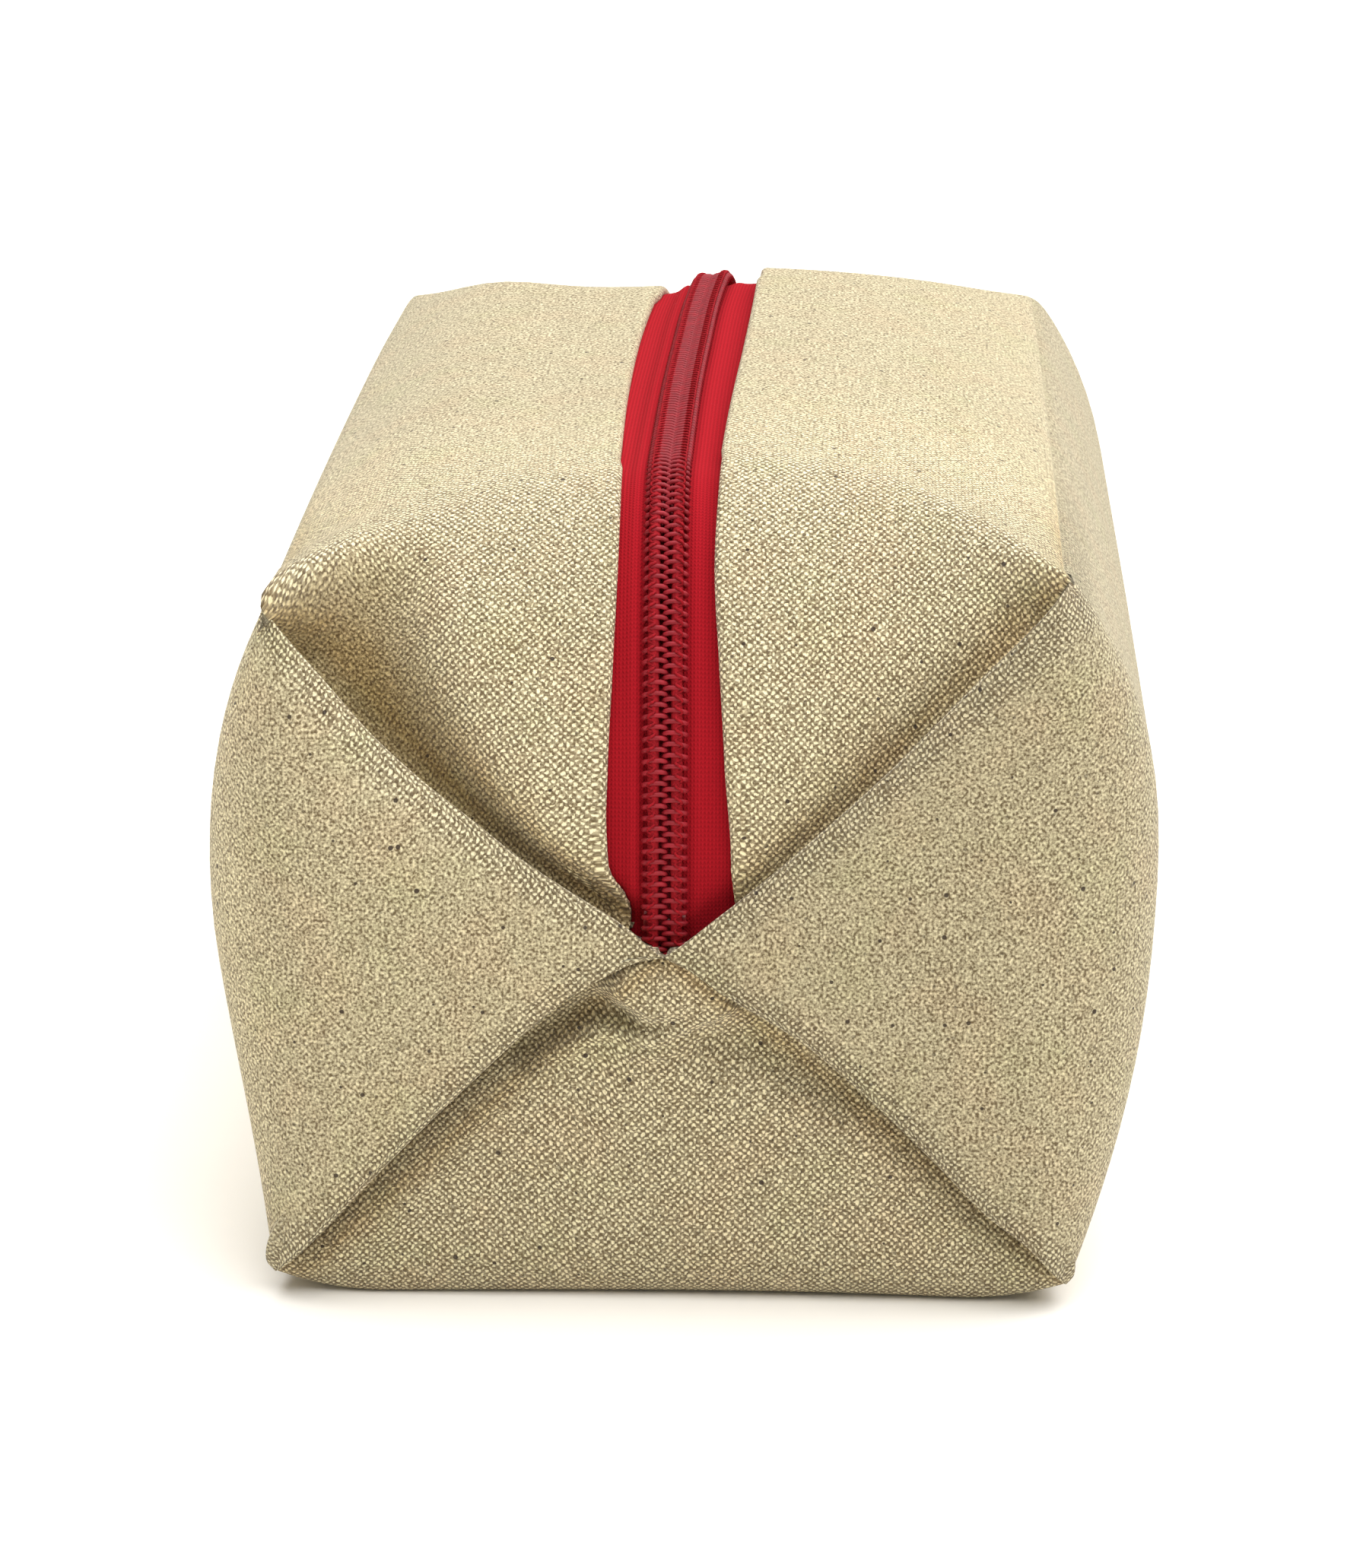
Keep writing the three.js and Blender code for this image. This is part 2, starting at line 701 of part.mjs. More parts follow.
// Cap: a sheet metal arch over the slider, with its feet on the upper plate.
function makeSliderCap() {
  const foot = upperPlateOutside - clearance;
  const under = foot - capArch;
  const outer = under - capThickness;
  const end = capLength / 2;
  const shape = new THREE.Shape();
  shape.moveTo(-end, foot);
  shape.lineTo(-end, under);
  shape.quadraticCurveTo(-end, outer, -end + capArch, outer);
  shape.lineTo(end - capArch, outer);
  shape.quadraticCurveTo(end, outer, end, under);
  shape.lineTo(end, foot);
  shape.lineTo(end - capThickness, foot);
  shape.lineTo(end - capThickness, under);
  shape.lineTo(end - capArch, under);
  shape.lineTo(-end + capArch, under);
  shape.lineTo(-end + capThickness, under);
  shape.lineTo(-end + capThickness, foot);
  shape.closePath();
  const geometry = extrude(shape, 2 * capHalfWidth, capCurveSteps);
  geometry.translate(0, 0, -capHalfWidth);
  const place = new THREE.Matrix4().makeBasis(
    new THREE.Vector3(0, 0, 1),
    new THREE.Vector3(0, 1, 0),
    new THREE.Vector3(-1, 0, 0),
  );
  return onZip(geometry.applyMatrix4(place), sliderAlong);
}

// Locking spring: a leaf on the upper plate whose bent end is the pin that drops between the coils.
function makeLockSpring() {
  const low = upperPlateOutside - clearance;
  const leaf = block(
    [-springHalfWidth, springHalfWidth],
    [low - springThickness, low],
    [-capInside, capInside - lugHeight - clearance],
  );
  const pin = block(
    [-pinHalfWidth, pinHalfWidth],
    [low - springThickness, upperPlateInside],
    [-capInside, -capInside + 2 * pinHalfWidth],
  );
  return onZip(toGeometry(leaf.add(pin)), sliderAlong);
}

// Pull tab: a plate with an eye, whose bar lies under the cap.
const pullPivotDepth = upperPlateOutside - clearance - springThickness - clearance - pullBar / 2;
const pullPivotAlong = capLength * pullPivotShare;

function makePullTab() {
  const side = pullWidth / 2;
  const shape = new THREE.Shape();
  shape.moveTo(-side, -pullBar / 2);
  shape.lineTo(side, -pullBar / 2);
  shape.lineTo(side, pullEyeLength);
  shape.lineTo(pullTipRadius, pullLength - pullTipRadius);
  shape.absarc(0, pullLength - pullTipRadius, pullTipRadius, 0, Math.PI, false);
  shape.lineTo(-side, pullEyeLength);
  shape.closePath();
  const eye = new THREE.Path();
  const eyeSide = side - pullBar;
  eye.moveTo(-eyeSide, pullBar / 2);
  eye.lineTo(-eyeSide, pullEyeLength - pullBar);
  eye.lineTo(eyeSide, pullEyeLength - pullBar);
  eye.lineTo(eyeSide, pullBar / 2);
  eye.closePath();
  shape.holes.push(eye);
  const tab = toGeometry(plate(shape, -pullThickness / 2, pullThickness / 2));
  tab.rotateX(pullLean);
  tab.translate(0, pullPivotDepth, pullPivotAlong);
  return onZip(tab, sliderAlong);
}

// Materials
function material(color, roughness, metalness = 0) {
  return new THREE.MeshStandardMaterial({ color, roughness, metalness });
}
const canvasCloth = () => material(0xd9c9a0, 0.95);
const bindingCloth = () => material(0xd2c4a2, 0.9);
const tapeCloth = () => material(0xa61d24, 0.85);
const coilNylon = () => material(0x9a1a22, 0.45);
const paintedZinc = () => material(0xa31c24, 0.4, 0.3);
const springSteel = () => material(0xb4b4b0, 0.35, 0.9);

const bag = new THREE.Group();
function addPiece(name, geometry, surface) {
  const piece = new THREE.Mesh(geometry, surface);
  piece.name = name;
  bag.add(piece);
}

addPiece("canvas_shell", makeCanvasShell(), canvasCloth());
addPiece("front_seam_binding", makeSeamBinding(-1), bindingCloth());
addPiece("rear_seam_binding", makeSeamBinding(1), bindingCloth());
for (const [name, side] of [["left", -1], ["right", 1]]) {
  addPiece(`${name}_zip_tape`, makeTape(side), tapeCloth());
  addPiece(`${name}_zip_coil`, makeCoil(side), coilNylon());
  addPiece(`${name}_top_stop`, makeTopStop(side), paintedZinc());
}
addPiece("bottom_stop", makeBottomStop(), paintedZinc());
addPiece("slider_body", makeSliderBody(), paintedZinc());
addPiece("slider_cap", makeSliderCap(), paintedZinc());
addPiece("lock_spring", makeLockSpring(), springSteel());
addPiece("pull_tab", makePullTab(), paintedZinc());

export default bag;
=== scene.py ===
"""Canvas zip pouch with parcel folded ends: the cloth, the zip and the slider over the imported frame."""

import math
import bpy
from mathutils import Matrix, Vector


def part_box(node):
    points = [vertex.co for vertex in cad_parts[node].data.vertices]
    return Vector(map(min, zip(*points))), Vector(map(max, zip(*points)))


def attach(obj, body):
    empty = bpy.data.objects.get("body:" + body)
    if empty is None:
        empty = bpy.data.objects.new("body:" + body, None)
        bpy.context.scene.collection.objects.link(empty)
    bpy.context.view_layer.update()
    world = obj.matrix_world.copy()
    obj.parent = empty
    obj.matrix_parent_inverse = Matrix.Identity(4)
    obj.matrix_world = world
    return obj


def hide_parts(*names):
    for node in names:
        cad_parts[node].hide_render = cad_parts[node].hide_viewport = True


bl_info = {
    "name": "Canvas Zip Pouch",
    "version": (1, 0, 0),
    "blender": (4, 5, 0),
    "location": "3D View > Sidebar > Pouch",
    "description": "Builds a box shaped canvas pouch, its coil zip and a plain studio",
    "category": "Object",
}

import bmesh
import bpy
import numpy as np

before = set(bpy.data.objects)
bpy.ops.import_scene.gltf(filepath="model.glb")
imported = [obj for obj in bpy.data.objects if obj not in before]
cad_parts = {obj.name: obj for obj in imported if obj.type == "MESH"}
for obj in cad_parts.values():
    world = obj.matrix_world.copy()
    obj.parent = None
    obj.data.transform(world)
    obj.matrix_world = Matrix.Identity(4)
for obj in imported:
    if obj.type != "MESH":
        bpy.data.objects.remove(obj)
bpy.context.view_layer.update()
CANVAS_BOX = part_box("canvas_shell")
BINDING_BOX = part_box("front_seam_binding")

MM = 0.001
RIGHT, TOP, LEFT, BASE = range(4)
CLOTH_UV = "cloth"
WEAVE = "weave"
# Vertex attribute of the painted light and shade on the cloth.
PAINTED_SHADING = "shade"
# Vertex attribute of the painted shade in the folds.
PAINTED_FOLD_SHADE = "painted_fold_shade"

# Shape of the folds: for each corner, from the base right one round to the base left one,
# how far the fold line lies towards the flap (mm) at shares of the way out to the corner.
FOLD_OFFSETS = (
    ((0, 0), (0.02, 0.4), (0.15, 1.3), (0.29, 2.9), (0.47, 2.9), (0.64, 2.1), (0.78, 1.1),
     (0.88, 1.4), (1, 0)),
    ((0, 0), (0.1, 1.1), (0.17, 1.6), (0.385, 2.1), (0.52, 2.1), (0.6, 1.8), (0.75, 1.1),
     (0.88, 0.65), (1, 0)),
    ((0, 0), (0.07, 0.3), (0.22, 1.9), (0.36, 3.3), (0.51, 3.9), (0.68, 3.5), (0.84, 1.8), (1, 0)),
    ((0, 0), (0.042, 2.5), (0.1, 3.1), (0.24, 3.8), (0.45, 3.3), (0.67, 2.1), (0.85, 0.7), (1, 0)),
)
# The panel beside a flap's edge is hollow: how deep and how wide (mm), for the same corners and shares.
HOLLOW_DEPTHS = (
    ((0, 0), (0.15, 0.8), (0.35, 1.8), (0.6, 1.8), (0.85, 1.6), (1, 0.3)),
    ((0, 0.5), (0.2, 1.0), (0.5, 1.5), (0.8, 2.4), (0.92, 3.2), (1, 0.5)),
    ((0, 1.0), (0.12, 3.6), (0.3, 5.0), (0.45, 7.6), (0.7, 12.5), (0.88, 13), (0.96, 12), (1, 4)),
    ((0, 0.5), (0.1, 2.5), (0.3, 3.2), (0.6, 3.2), (0.85, 2.2), (1, 0)),
)
HOLLOW_WIDTHS = (
    ((0, 2), (0.2, 5), (0.4, 7), (0.7, 5), (1, 3)),
    ((0, 2), (0.5, 3.5), (0.8, 5), (0.92, 6), (1, 3)),
    ((0, 3), (0.3, 4), (0.42, 5.5), (0.58, 8.5), (0.7, 12), (0.82, 16.5), (0.95, 15), (1, 12)),
    ((0, 4), (0.2, 6), (0.6, 6.5), (0.85, 4.5), (1, 2)),
)
# Power of a hollow's fall from the flap's edge: 1 makes it a flat facet.
HOLLOW_POWERS = (1.4, 1.4, 0.8, 1.4)
# Swells and dents of the front end: the sector, the height and half width (mm), the power of its
# fall to the sides, and places on its line (mm to the right of the flap tips and above them).
FRONT_RELIEF = (
    (BASE, 3.9, 5.2, 4, ((-3.0, -4.6), (4.6, -4.0))),
    (BASE, -3.4, 2.2, 2, ((-19, -15.2), (-12.9, -10.8), (-8.6, -8.6), (-5.6, -9.4))),
    (BASE, 1.6, 1.1, 2,
     ((-16, -15.4), (-9.5, -12.0), (-5.9, -11.8), (-2.3, -12.9), (1.4, -11.5), (8.9, -7.9))),
    (BASE, 0.8, 0.8, 2, ((-6.4, -14.4), (-3.0, -15.1), (0.5, -14.6), (4.0, -12.6))),
    (BASE, -2.0, 3.6, 2, ((5, -13.6), (12, -13.8), (22, -20))),
    (TOP, 3.6, 3.0, 2, ((-51.5, 46.7), (-42, 53.2))),
    (LEFT, -4.5, 10.0, 2, ((-24, 22), (-34, 31), (-46, 41.5))),
    (TOP, 1.5, 6.5, 2, ((-27, 41), (-22, 27), (-15, 14))),
    (TOP, 0.8, 7.0, 2, ((24, 38), (16, 22))),
)
# The crest of the top left ear, above which its hollow ends: a place on it and its direction.
EAR_CREST, EAR_CREST_DIRECTION = (-51.5, 46.7), (0.825, 0.565)
# Half width of the opening beside the zip (mm) at lengths along the zip (mm).
LEFT_EDGE = (
    (0, 3.6), (4.5, 3.8), (7.5, 4.7), (10, 6.0), (12.5, 7.2), (17, 7.9), (25.8, 8.2), (39, 8.0), (56, 7.9),
    (83, 8.6), (129, 9.8), (176, 9.9), (205, 9.1), (232, 8.0), (268, 8.0),
)
RIGHT_EDGE = (
    (0, 7.0), (6, 7.2), (8.5, 7.6), (12.5, 8.4), (26, 8.3), (39, 7.6), (51, 6.8), (67, 6.9), (95, 7.2),
    (138, 8.0), (196, 8.4), (232, 8.0), (268, 8.0),
)
# How far the zip's middle wanders to the right (mm) at lengths along the zip (mm).
ZIP_WANDER = (
    (0, 0), (26, -0.1), (49, -0.5), (70, -0.9), (89, -1.1), (120, -1.3), (150, -1.2), (186, -0.8),
    (205, -0.1), (215, 0.3), (232, 0.1), (268, 0),
)
# The zip's two sides and the direction of each across it.
SIDES = (("left", -1), ("right", 1))
# The coils (mm): the pitch, the radii of wire, filler cord and sewing thread, where the first turn lies
# along the zip, and how far before the zip's end the last one does.
COIL_PITCH = 1.5
COIL_WIRE, COIL_CORD, COIL_THREAD = 0.34, 0.82, 0.2
COIL_START, COIL_END = -2.2, 9.8
# Middle and swing of the wire and of the sewing across the zip and in depth, and the cord's place (mm).
COIL_ACROSS, COIL_DEPTH = (1.31, 1.53), (0.75, 0.7)
THREAD_ACROSS, THREAD_DEPTH = (1.85, 0.45), (-0.14, 0.24)
CORD_ACROSS, CORD_DEPTH = 1.55, 0.72
# How far each coil stands aside at the slider, where that starts before the zip's end and over what
# length it grows (mm).
PARTING, PARTING_START, PARTING_LENGTH = 1.5, 19, 4.8
# The tapes (mm): places across them, depths of their faces under the zip's line, the height of the
# ridge along each, and its place and width.
TAPE_PLACES = np.concatenate([[0.12], np.linspace(1.15, 7.6, 14), [10, 13, 16]])
TAPE_OUTER, TAPE_INNER = 2.1, 2.7
TAPE_RIDGES = {"left": 0.9, "right": 0.35}
RIDGE_PLACE, RIDGE_WIDTH = 4.1, 1.1
# How far a tape's outer edge sags, and how far along the zip it follows the panel's hollow (mm).
TAPE_SAG, HOLLOW_END = 0.72, 60
# Patches of the cloth's colour: the shift and scale of their noise, where they start and end, and
# their tint.
WHITE = (1.0, 1.0, 1.0, 1.0)
CLOTH_PATCHES = (
    ((300.0, 0.0, 0.0), 0.085, (0.44, 0.66), (1.02, 0.98, 0.97, 1.0)),
    ((0.0, 500.0, 0.0), 0.07, (0.5, 0.7), (0.975, 1.0, 0.955, 1.0)),
)
# Painted shade: the browner, darker tint given to the cloth in the folds beside the flaps' edges.
PAINTED_FOLD_SHADE_TINT = (0.88, 0.76, 0.58, 1.0)
# Seed husk in the cloth: the shift and scale of its pattern, how rare it is, how much its size
# varies, how soft its edge is, and how dark it is.
CLOTH_FLECKS = (
    ((31.0, 11.0, 0.0), 0.42, 0.5, 0.4, 0.12, 0.5),
    ((0.0, 0.0, 0.0), 0.17, 0.58, 0.7, 0.1, 0.95),
)
# Painted light and shade, scaling the cloth's colour for how the light falls: the right side, the left
# side and the base away from the front and at it, and the top at places along the pouch (mm).
RIGHT_PAINTED_SHADING, LEFT_PAINTED_SHADING, BASE_PAINTED_SHADING = 0.835, (1.05, 0.92), (0.97, 0.99)
TOP_PAINTED_SHADING = ((-95, 1.12), (-85, 1.13), (-65, 1.2), (-45, 1.12), (-20, 0.98))
# The light: colour and strength of the air, and the softbox's strength, colour, width and turn (degrees).
AIR_COLOUR, AIR_STRENGTH = (1.0, 0.97, 0.91, 1.0), 0.4
SOFTBOX_STRENGTH, SOFTBOX_COLOUR = 4.75, (1.0, 1.0, 1.03)
SOFTBOX_WIDTH, SOFTBOX_TURN = 95, (-4, 14, 0)
# The camera: the photograph's height and the focal length (px), the sensor (mm), its place (m) and
# its turn (degrees).
PHOTO_HEIGHT, FOCAL_LENGTH, SENSOR = 2062, 6485.474, 36.0
CAMERA_PLACE = (0.02986, -0.72335, 0.26293)
CAMERA_TURN = (90 - 16.92, 0, 2.543)
# Vertices closer than this (m) are one.
WELD = 1e-6


def smooth_curve(points, at):
    """A smooth curve through (position, value) pairs, read at an array of positions."""
    x, y = (np.array(axis, float) for axis in zip(*points))
    slopes = np.gradient(y, x)
    i = np.clip(np.searchsorted(x, at) - 1, 0, len(x) - 2)
    width = x[i + 1] - x[i]
    t = np.clip((at - x[i]) / width, 0, 1)
    return (
        (1 + 2 * t) * (1 - t) ** 2 * y[i]
        + t * (1 - t) ** 2 * width * slopes[i]
        + t**2 * (3 - 2 * t) * y[i + 1]
        + t**2 * (t - 1) * width * slopes[i + 1]
    )


def smoothstep(low, high, value):
    t = np.clip((value - low) / (high - low), 0, 1)
    return t * t * (3 - 2 * t)


def blend(a, b, share):
    return a + (b - a) * share


def smooth_line(places):
    """Closely spaced points of a smooth line through some places."""
    steps = np.arange(len(places))
    fine = np.linspace(0, len(places) - 1, 6 * len(places))
    return [smooth_curve(tuple(zip(steps, axis)), fine) for axis in zip(*places)]


def line_distance(x, z, line):
    """Distance from points to a line of closely spaced points."""
    line_x, line_z = line
    dx, dz = np.diff(line_x), np.diff(line_z)
    from_x, from_z = x[:, None] - line_x[:-1], z[:, None] - line_z[:-1]
    share = np.clip((from_x * dx + from_z * dz) / (dx * dx + dz * dz), 0, 1)
    return np.hypot(from_x - share * dx, from_z - share * dz).min(axis=1)


def unit(vectors):
    """Vectors of length 1 in the same directions."""
    return vectors / np.linalg.norm(vectors, axis=-1, keepdims=True)


def lengths_along(points):
    """Distance along a line of points from the first to each of them."""
    return np.concatenate([[0], np.cumsum(np.linalg.norm(np.diff(points, axis=0), axis=-1))])


def reach_along(points, columns):
    """In each row of points, the distance from the first of some columns to each later one."""
    return np.cumsum(np.linalg.norm(np.diff(points[:, columns], axis=1), axis=-1), axis=1)


def grid_of(across, along):
    """Pairs of a value for each column and a value for each row."""
    return np.stack(np.broadcast_arrays(across[None, :], along[:, None]), -1)


class PouchSizes(bpy.types.PropertyGroup):
    """Sizes of the canvas."""

    length: bpy.props.FloatProperty(
        name="Length", description="From end to end", unit="LENGTH",
        default=CANVAS_BOX[1].y - CANVAS_BOX[0].y,
    )
    height: bpy.props.FloatProperty(
        name="Height", description="Of the top panel beside the zip", unit="LENGTH",
        default=CANVAS_BOX[1].z,
    )
    seam_height: bpy.props.FloatProperty(
        name="Seam height", description="Of the end seam, where the flap tips meet", unit="LENGTH",
        default=(BINDING_BOX[0].z + BINDING_BOX[1].z) / 2,
    )
    corner_reach: bpy.props.FloatProperty(
        name="Corner reach", description="From the middle to a top corner", unit="LENGTH", default=0.053,
    )
    base_reach: bpy.props.FloatProperty(
        name="Base reach", description="From the middle to a base corner", unit="LENGTH", default=0.0530,
    )
    left_bulge: bpy.props.FloatProperty(
        name="Left bulge", description="Swell of the left side near the ends", unit="LENGTH", default=0.0085,
    )
    right_bulge: bpy.props.FloatProperty(
        name="Right bulge", description="Swell of the right side", unit="LENGTH", default=0.0118,
    )
    cloth_thickness: bpy.props.FloatProperty(
        name="Cloth", description="Thickness of the canvas", unit="LENGTH", default=0.0009,
    )
    yarn_pitch: bpy.props.FloatProperty(
        name="Yarn pitch", description="Distance between yarns", unit="LENGTH", default=0.00052, precision=6,
    )


class PouchColours(bpy.types.PropertyGroup):
    """Colours of the cloth and the zip."""

    canvas: bpy.props.FloatVectorProperty(
        name="Canvas", description="Unbleached cotton, crowns of the weave", subtype="COLOR",
        size=3, default=(0.92, 0.82, 0.525),
    )
    canvas_gap: bpy.props.FloatVectorProperty(
        name="Canvas gaps", description="Between the yarns", subtype="COLOR",
        size=3, default=(0.16, 0.115, 0.053),
    )
    seed: bpy.props.FloatVectorProperty(
        name="Seed flecks", description="Bits of seed husk in the cotton", subtype="COLOR",
        size=3, default=(0.045, 0.028, 0.015),
    )
    tape: bpy.props.FloatVectorProperty(
        name="Zip tape", description="Dyed polyester", subtype="COLOR",
        size=3, default=(0.345, 0.008, 0.0145),
    )
    coil: bpy.props.FloatVectorProperty(
        name="Zip coil", description="Dyed nylon", subtype="COLOR", size=3, default=(0.29, 0.008, 0.016),
    )
    paint: bpy.props.FloatVectorProperty(
        name="Slider paint", description="Enamel on zinc", subtype="COLOR",
        size=3, default=(0.36, 0.012, 0.02),
    )


class Wire:
    """One output of a material's nodes. Arithmetic on it adds nodes to the material."""

    def __init__(self, tree, socket):
        self.tree = tree
        self.socket = socket

    def node(self, kind, inputs=(), output=0, **settings):
        """Adds a node with its settings and socket values, and gives one of its outputs."""
        made = self.tree.nodes.new(kind)
        for name, value in settings.items():
            setattr(made, name, value)
        for key, value in dict(inputs).items():
            if isinstance(value, Wire):
                self.tree.links.new(value.socket, made.inputs[key])
            else:
                made.inputs[key].default_value = value
        return Wire(self.tree, made.outputs[output])

    def math(self, operation, *others):
        values = dict(enumerate((self, *others)))
        return self.node("ShaderNodeMath", values, operation=operation)

    def __add__(self, other):
        return self.math("ADD", other)

    __radd__ = __add__

    def __sub__(self, other):
        return self.math("SUBTRACT", other)

    def __rsub__(self, other):
        return (self * -1.0) + other

    def __mul__(self, other):
        return self.math("MULTIPLY", other)

    __rmul__ = __mul__

    def __truediv__(self, other):
        return self.math("DIVIDE", other)

    def cosine(self):
        return self.math("COSINE")

    def floor(self):
        return self.math("FLOOR")

    def clamp(self):
        return self.node("ShaderNodeClamp", {0: self})

    def step(self, low, high):
        """0 below low, 1 above high, and smooth between them."""
        values = {"Value": self, "From Min": low, "From Max": high}
        return self.node("ShaderNodeMapRange", values, interpolation_type="SMOOTHSTEP")

    def mix(self, first, second):
        """A colour between two colours, by this share."""
        return self.node("ShaderNodeMix", {0: self, 6: first, 7: second}, 2, data_type="RGBA")

    def tint(self, other):
        """This colour times another one."""
        values = {0: 1.0, 6: self, 7: other}
        return self.node("ShaderNodeMix", values, 2, data_type="RGBA", blend_type="MULTIPLY")

    def split(self):
        """The three parts of a vector."""
        made = self.node("ShaderNodeSeparateXYZ", {0: self}).socket.node
        return [Wire(self.tree, made.outputs[i]) for i in range(3)]

    def join(self, y):
        return self.node("ShaderNodeCombineXYZ", {0: self, 1: y})

    def scaled(self, factor):
        return self.node("ShaderNodeVectorMath", {0: self, 3: factor}, operation="SCALE")

    def shifted(self, other):
        return self.node("ShaderNodeVectorMath", {0: self, 1: other}, operation="ADD")

    def noise(self, scale, detail, roughness):
        values = {"Vector": self, "Scale": scale, "Detail": detail, "Roughness": roughness}
        return self.node("ShaderNodeTexNoise", values)

    def chance(self):
        """A random number for each place of a vector."""
        return self.node("ShaderNodeTexWhiteNoise", {0: self}, noise_dimensions="3D")


def colour(value):
    return (*value, 1.0)


class Finish:
    """A new material with its shader and the coordinates that its pattern follows."""

    def __init__(self, name):
        self.material = bpy.data.materials.new(name)
        self.material.use_nodes = True
        self.tree = self.material.node_tree
        self.shader = self.tree.nodes["Principled BSDF"]
        self.start = Wire(self.tree, None)

    def place(self):
        return self.start.node("ShaderNodeTexCoord", output="Object")

    def cloth(self):
        return self.start.node("ShaderNodeUVMap", uv_map=CLOTH_UV)

    def attribute(self, name):
        return self.start.node("ShaderNodeAttribute", output="Fac", attribute_name=name)

    def set(self, name, value):
        socket = self.shader.inputs[name]
        if isinstance(value, Wire):
            self.tree.links.new(value.socket, socket)
        else:
            socket.default_value = value

    def bump(self, height, distance, strength):
        values = {"Height": height, "Distance": distance, "Strength": strength}
        self.set("Normal", self.start.node("ShaderNodeBump", values))


def flecks(cloth, scale, rarity, spread, soft):
    """1 inside spots of many sizes at random places, and 0 outside them."""
    near = cloth.node("ShaderNodeTexVoronoi", {"Vector": cloth, "Scale": scale}, voronoi_dimensions="2D")
    size = Wire(cloth.tree, near.socket.node.outputs["Color"]).split()[0]
    return 1.0 - (near * (1 / scale) - (size - rarity) * spread).step(0.0, soft)


def canvas_finish(sizes, colours):
    """Plain weave cotton canvas with seed flecks, painted light and shade, and painted shade in its folds."""
    finish = Finish("canvas_weave")
    cloth = finish.cloth().scaled(1 / MM)
    pitch = sizes.yarn_pitch / MM
    strength = finish.attribute(WEAVE)
    u, v, _ = cloth.split()
    drift_u = (cloth.noise(0.8, 4.0, 0.62) - 0.5) * (2.6 * pitch)
    drift_v = (cloth.shifted((40.0, 17.0, 3.0)).noise(0.8, 4.0, 0.62) - 0.5) * (2.6 * pitch)
    yarn_u = (u + drift_u) / pitch
    yarn_v = (v + drift_v) / pitch
    crown = (yarn_u * math.pi).cosine() * (yarn_v * math.pi).cosine()
    cell = (yarn_u + 0.5).floor().join((yarn_v + 0.5).floor()).chance()
    height = crown * (cell * 0.9 + 0.55)
    slub = cloth.shifted((7.0, 90.0, 1.0)).noise(1.4, 3.0, 0.7)
    fine = cloth.noise(2.4, 1.0, 0.5)
    tone = (
        strength * (height.step(-0.05, 0.7) - 0.27)
        + 0.383
        + (slub - 0.5) * (1.1 - strength * 0.3)
        + (fine - 0.5) * (2.4 - strength * 1.3)
    )
    base = tone.clamp().mix(colour(colours.canvas_gap), colour(colours.canvas))
    for shift, scale, steps, patch_tint in CLOTH_PATCHES:
        patch = cloth.shifted(shift).noise(scale, 3.0, 0.6)
        base = base.tint(patch.step(*steps).mix(WHITE, patch_tint))
    # Painted shade: browner and darker in the folds beside the flaps' edges and in the top left hollow.
    base = base.tint(finish.attribute(PAINTED_FOLD_SHADE).mix(WHITE, PAINTED_FOLD_SHADE_TINT))
    for shift, scale, rarity, spread, soft, dark in CLOTH_FLECKS:
        spots = flecks(cloth.shifted(shift), scale, rarity, spread, soft)
        base = (spots * dark).mix(base, colour(colours.seed))
    # Painted light and shade: the colour is scaled up or down by how the light falls on each part.
    finish.set("Base Color", base.scaled(finish.attribute(PAINTED_SHADING)))
    finish.set("Roughness", 0.93)
    finish.set("Specular IOR Level", 0.25)
    finish.set("Sheen Weight", 0.15)
    finish.set("Sheen Roughness", 0.6)
    relief = height * strength + (slub - 0.5) * 0.9 + (fine - 0.5) * 1.1
    finish.bump(relief, 0.16 * MM, 0.9)
    return finish.material


def tape_finish(colours):
    """Woven polyester tape with fine ribs along it."""
    finish = Finish("zip_tape_weave")
    cloth = finish.cloth().scaled(1 / MM)
    u, v, _ = cloth.split()
    rib = (u * (2 * math.pi / 0.5)).cosine()
    knit = ((v * (2 * math.pi / 0.62)) + rib * 1.6).cosine()
    relief = rib * 0.5 + knit * 0.4 + cloth.noise(2.5, 3.0, 0.7)
    tone = (relief * 0.26 + 0.7).clamp()
    shaded = tone.mix((0.2, 0.2, 0.2, 1.0), (1.2, 1.2, 1.2, 1.0))
    finish.set("Base Color", shaded.tint(colour(colours.tape)))
    finish.set("Roughness", 0.95)
    finish.set("Specular IOR Level", 0.08)
    finish.bump(relief, 0.05 * MM, 0.8)
    return finish.material


def grained_finish(name, tint, noise, steps, shades, rough, bump, inputs):
    """A finish whose colour, roughness and bump follow one fine noise."""
    finish = Finish(name)
    grain = finish.place().noise(*noise)
    dark, light = (colour([part * shade for part in tint]) for shade in shades)
    finish.set("Base Color", grain.step(*steps).mix(dark, light))
    least, spread = rough
    finish.set("Roughness", grain * spread + least if spread else least)
    for socket, value in inputs.items():
        finish.set(socket, value)
    distance, strength = bump
    finish.bump(grain, distance * MM, strength)
    return finish.material


def coil_finish(colours):
    """Nylon monofilament, slightly scuffed."""
    return grained_finish(
        "zip_coil_nylon", colours.coil, noise=(900.0, 3.0, 0.6), steps=(0.35, 0.75), shades=(0.8, 1.2),
        rough=(0.45, 0.2), bump=(0.02, 0.5), inputs={"Specular IOR Level": 0.32},
    )


def thread_finish(colours):
    """Polyester sewing thread, dyed as the tape."""
    return grained_finish(
        "zip_thread", colours.tape, noise=(2500.0, 2.0, 0.6), steps=(0.3, 0.7), shades=(0.6, 1.05),
        rough=(0.8, 0), bump=(0.03, 0.6), inputs={"Specular IOR Level": 0.15},
    )


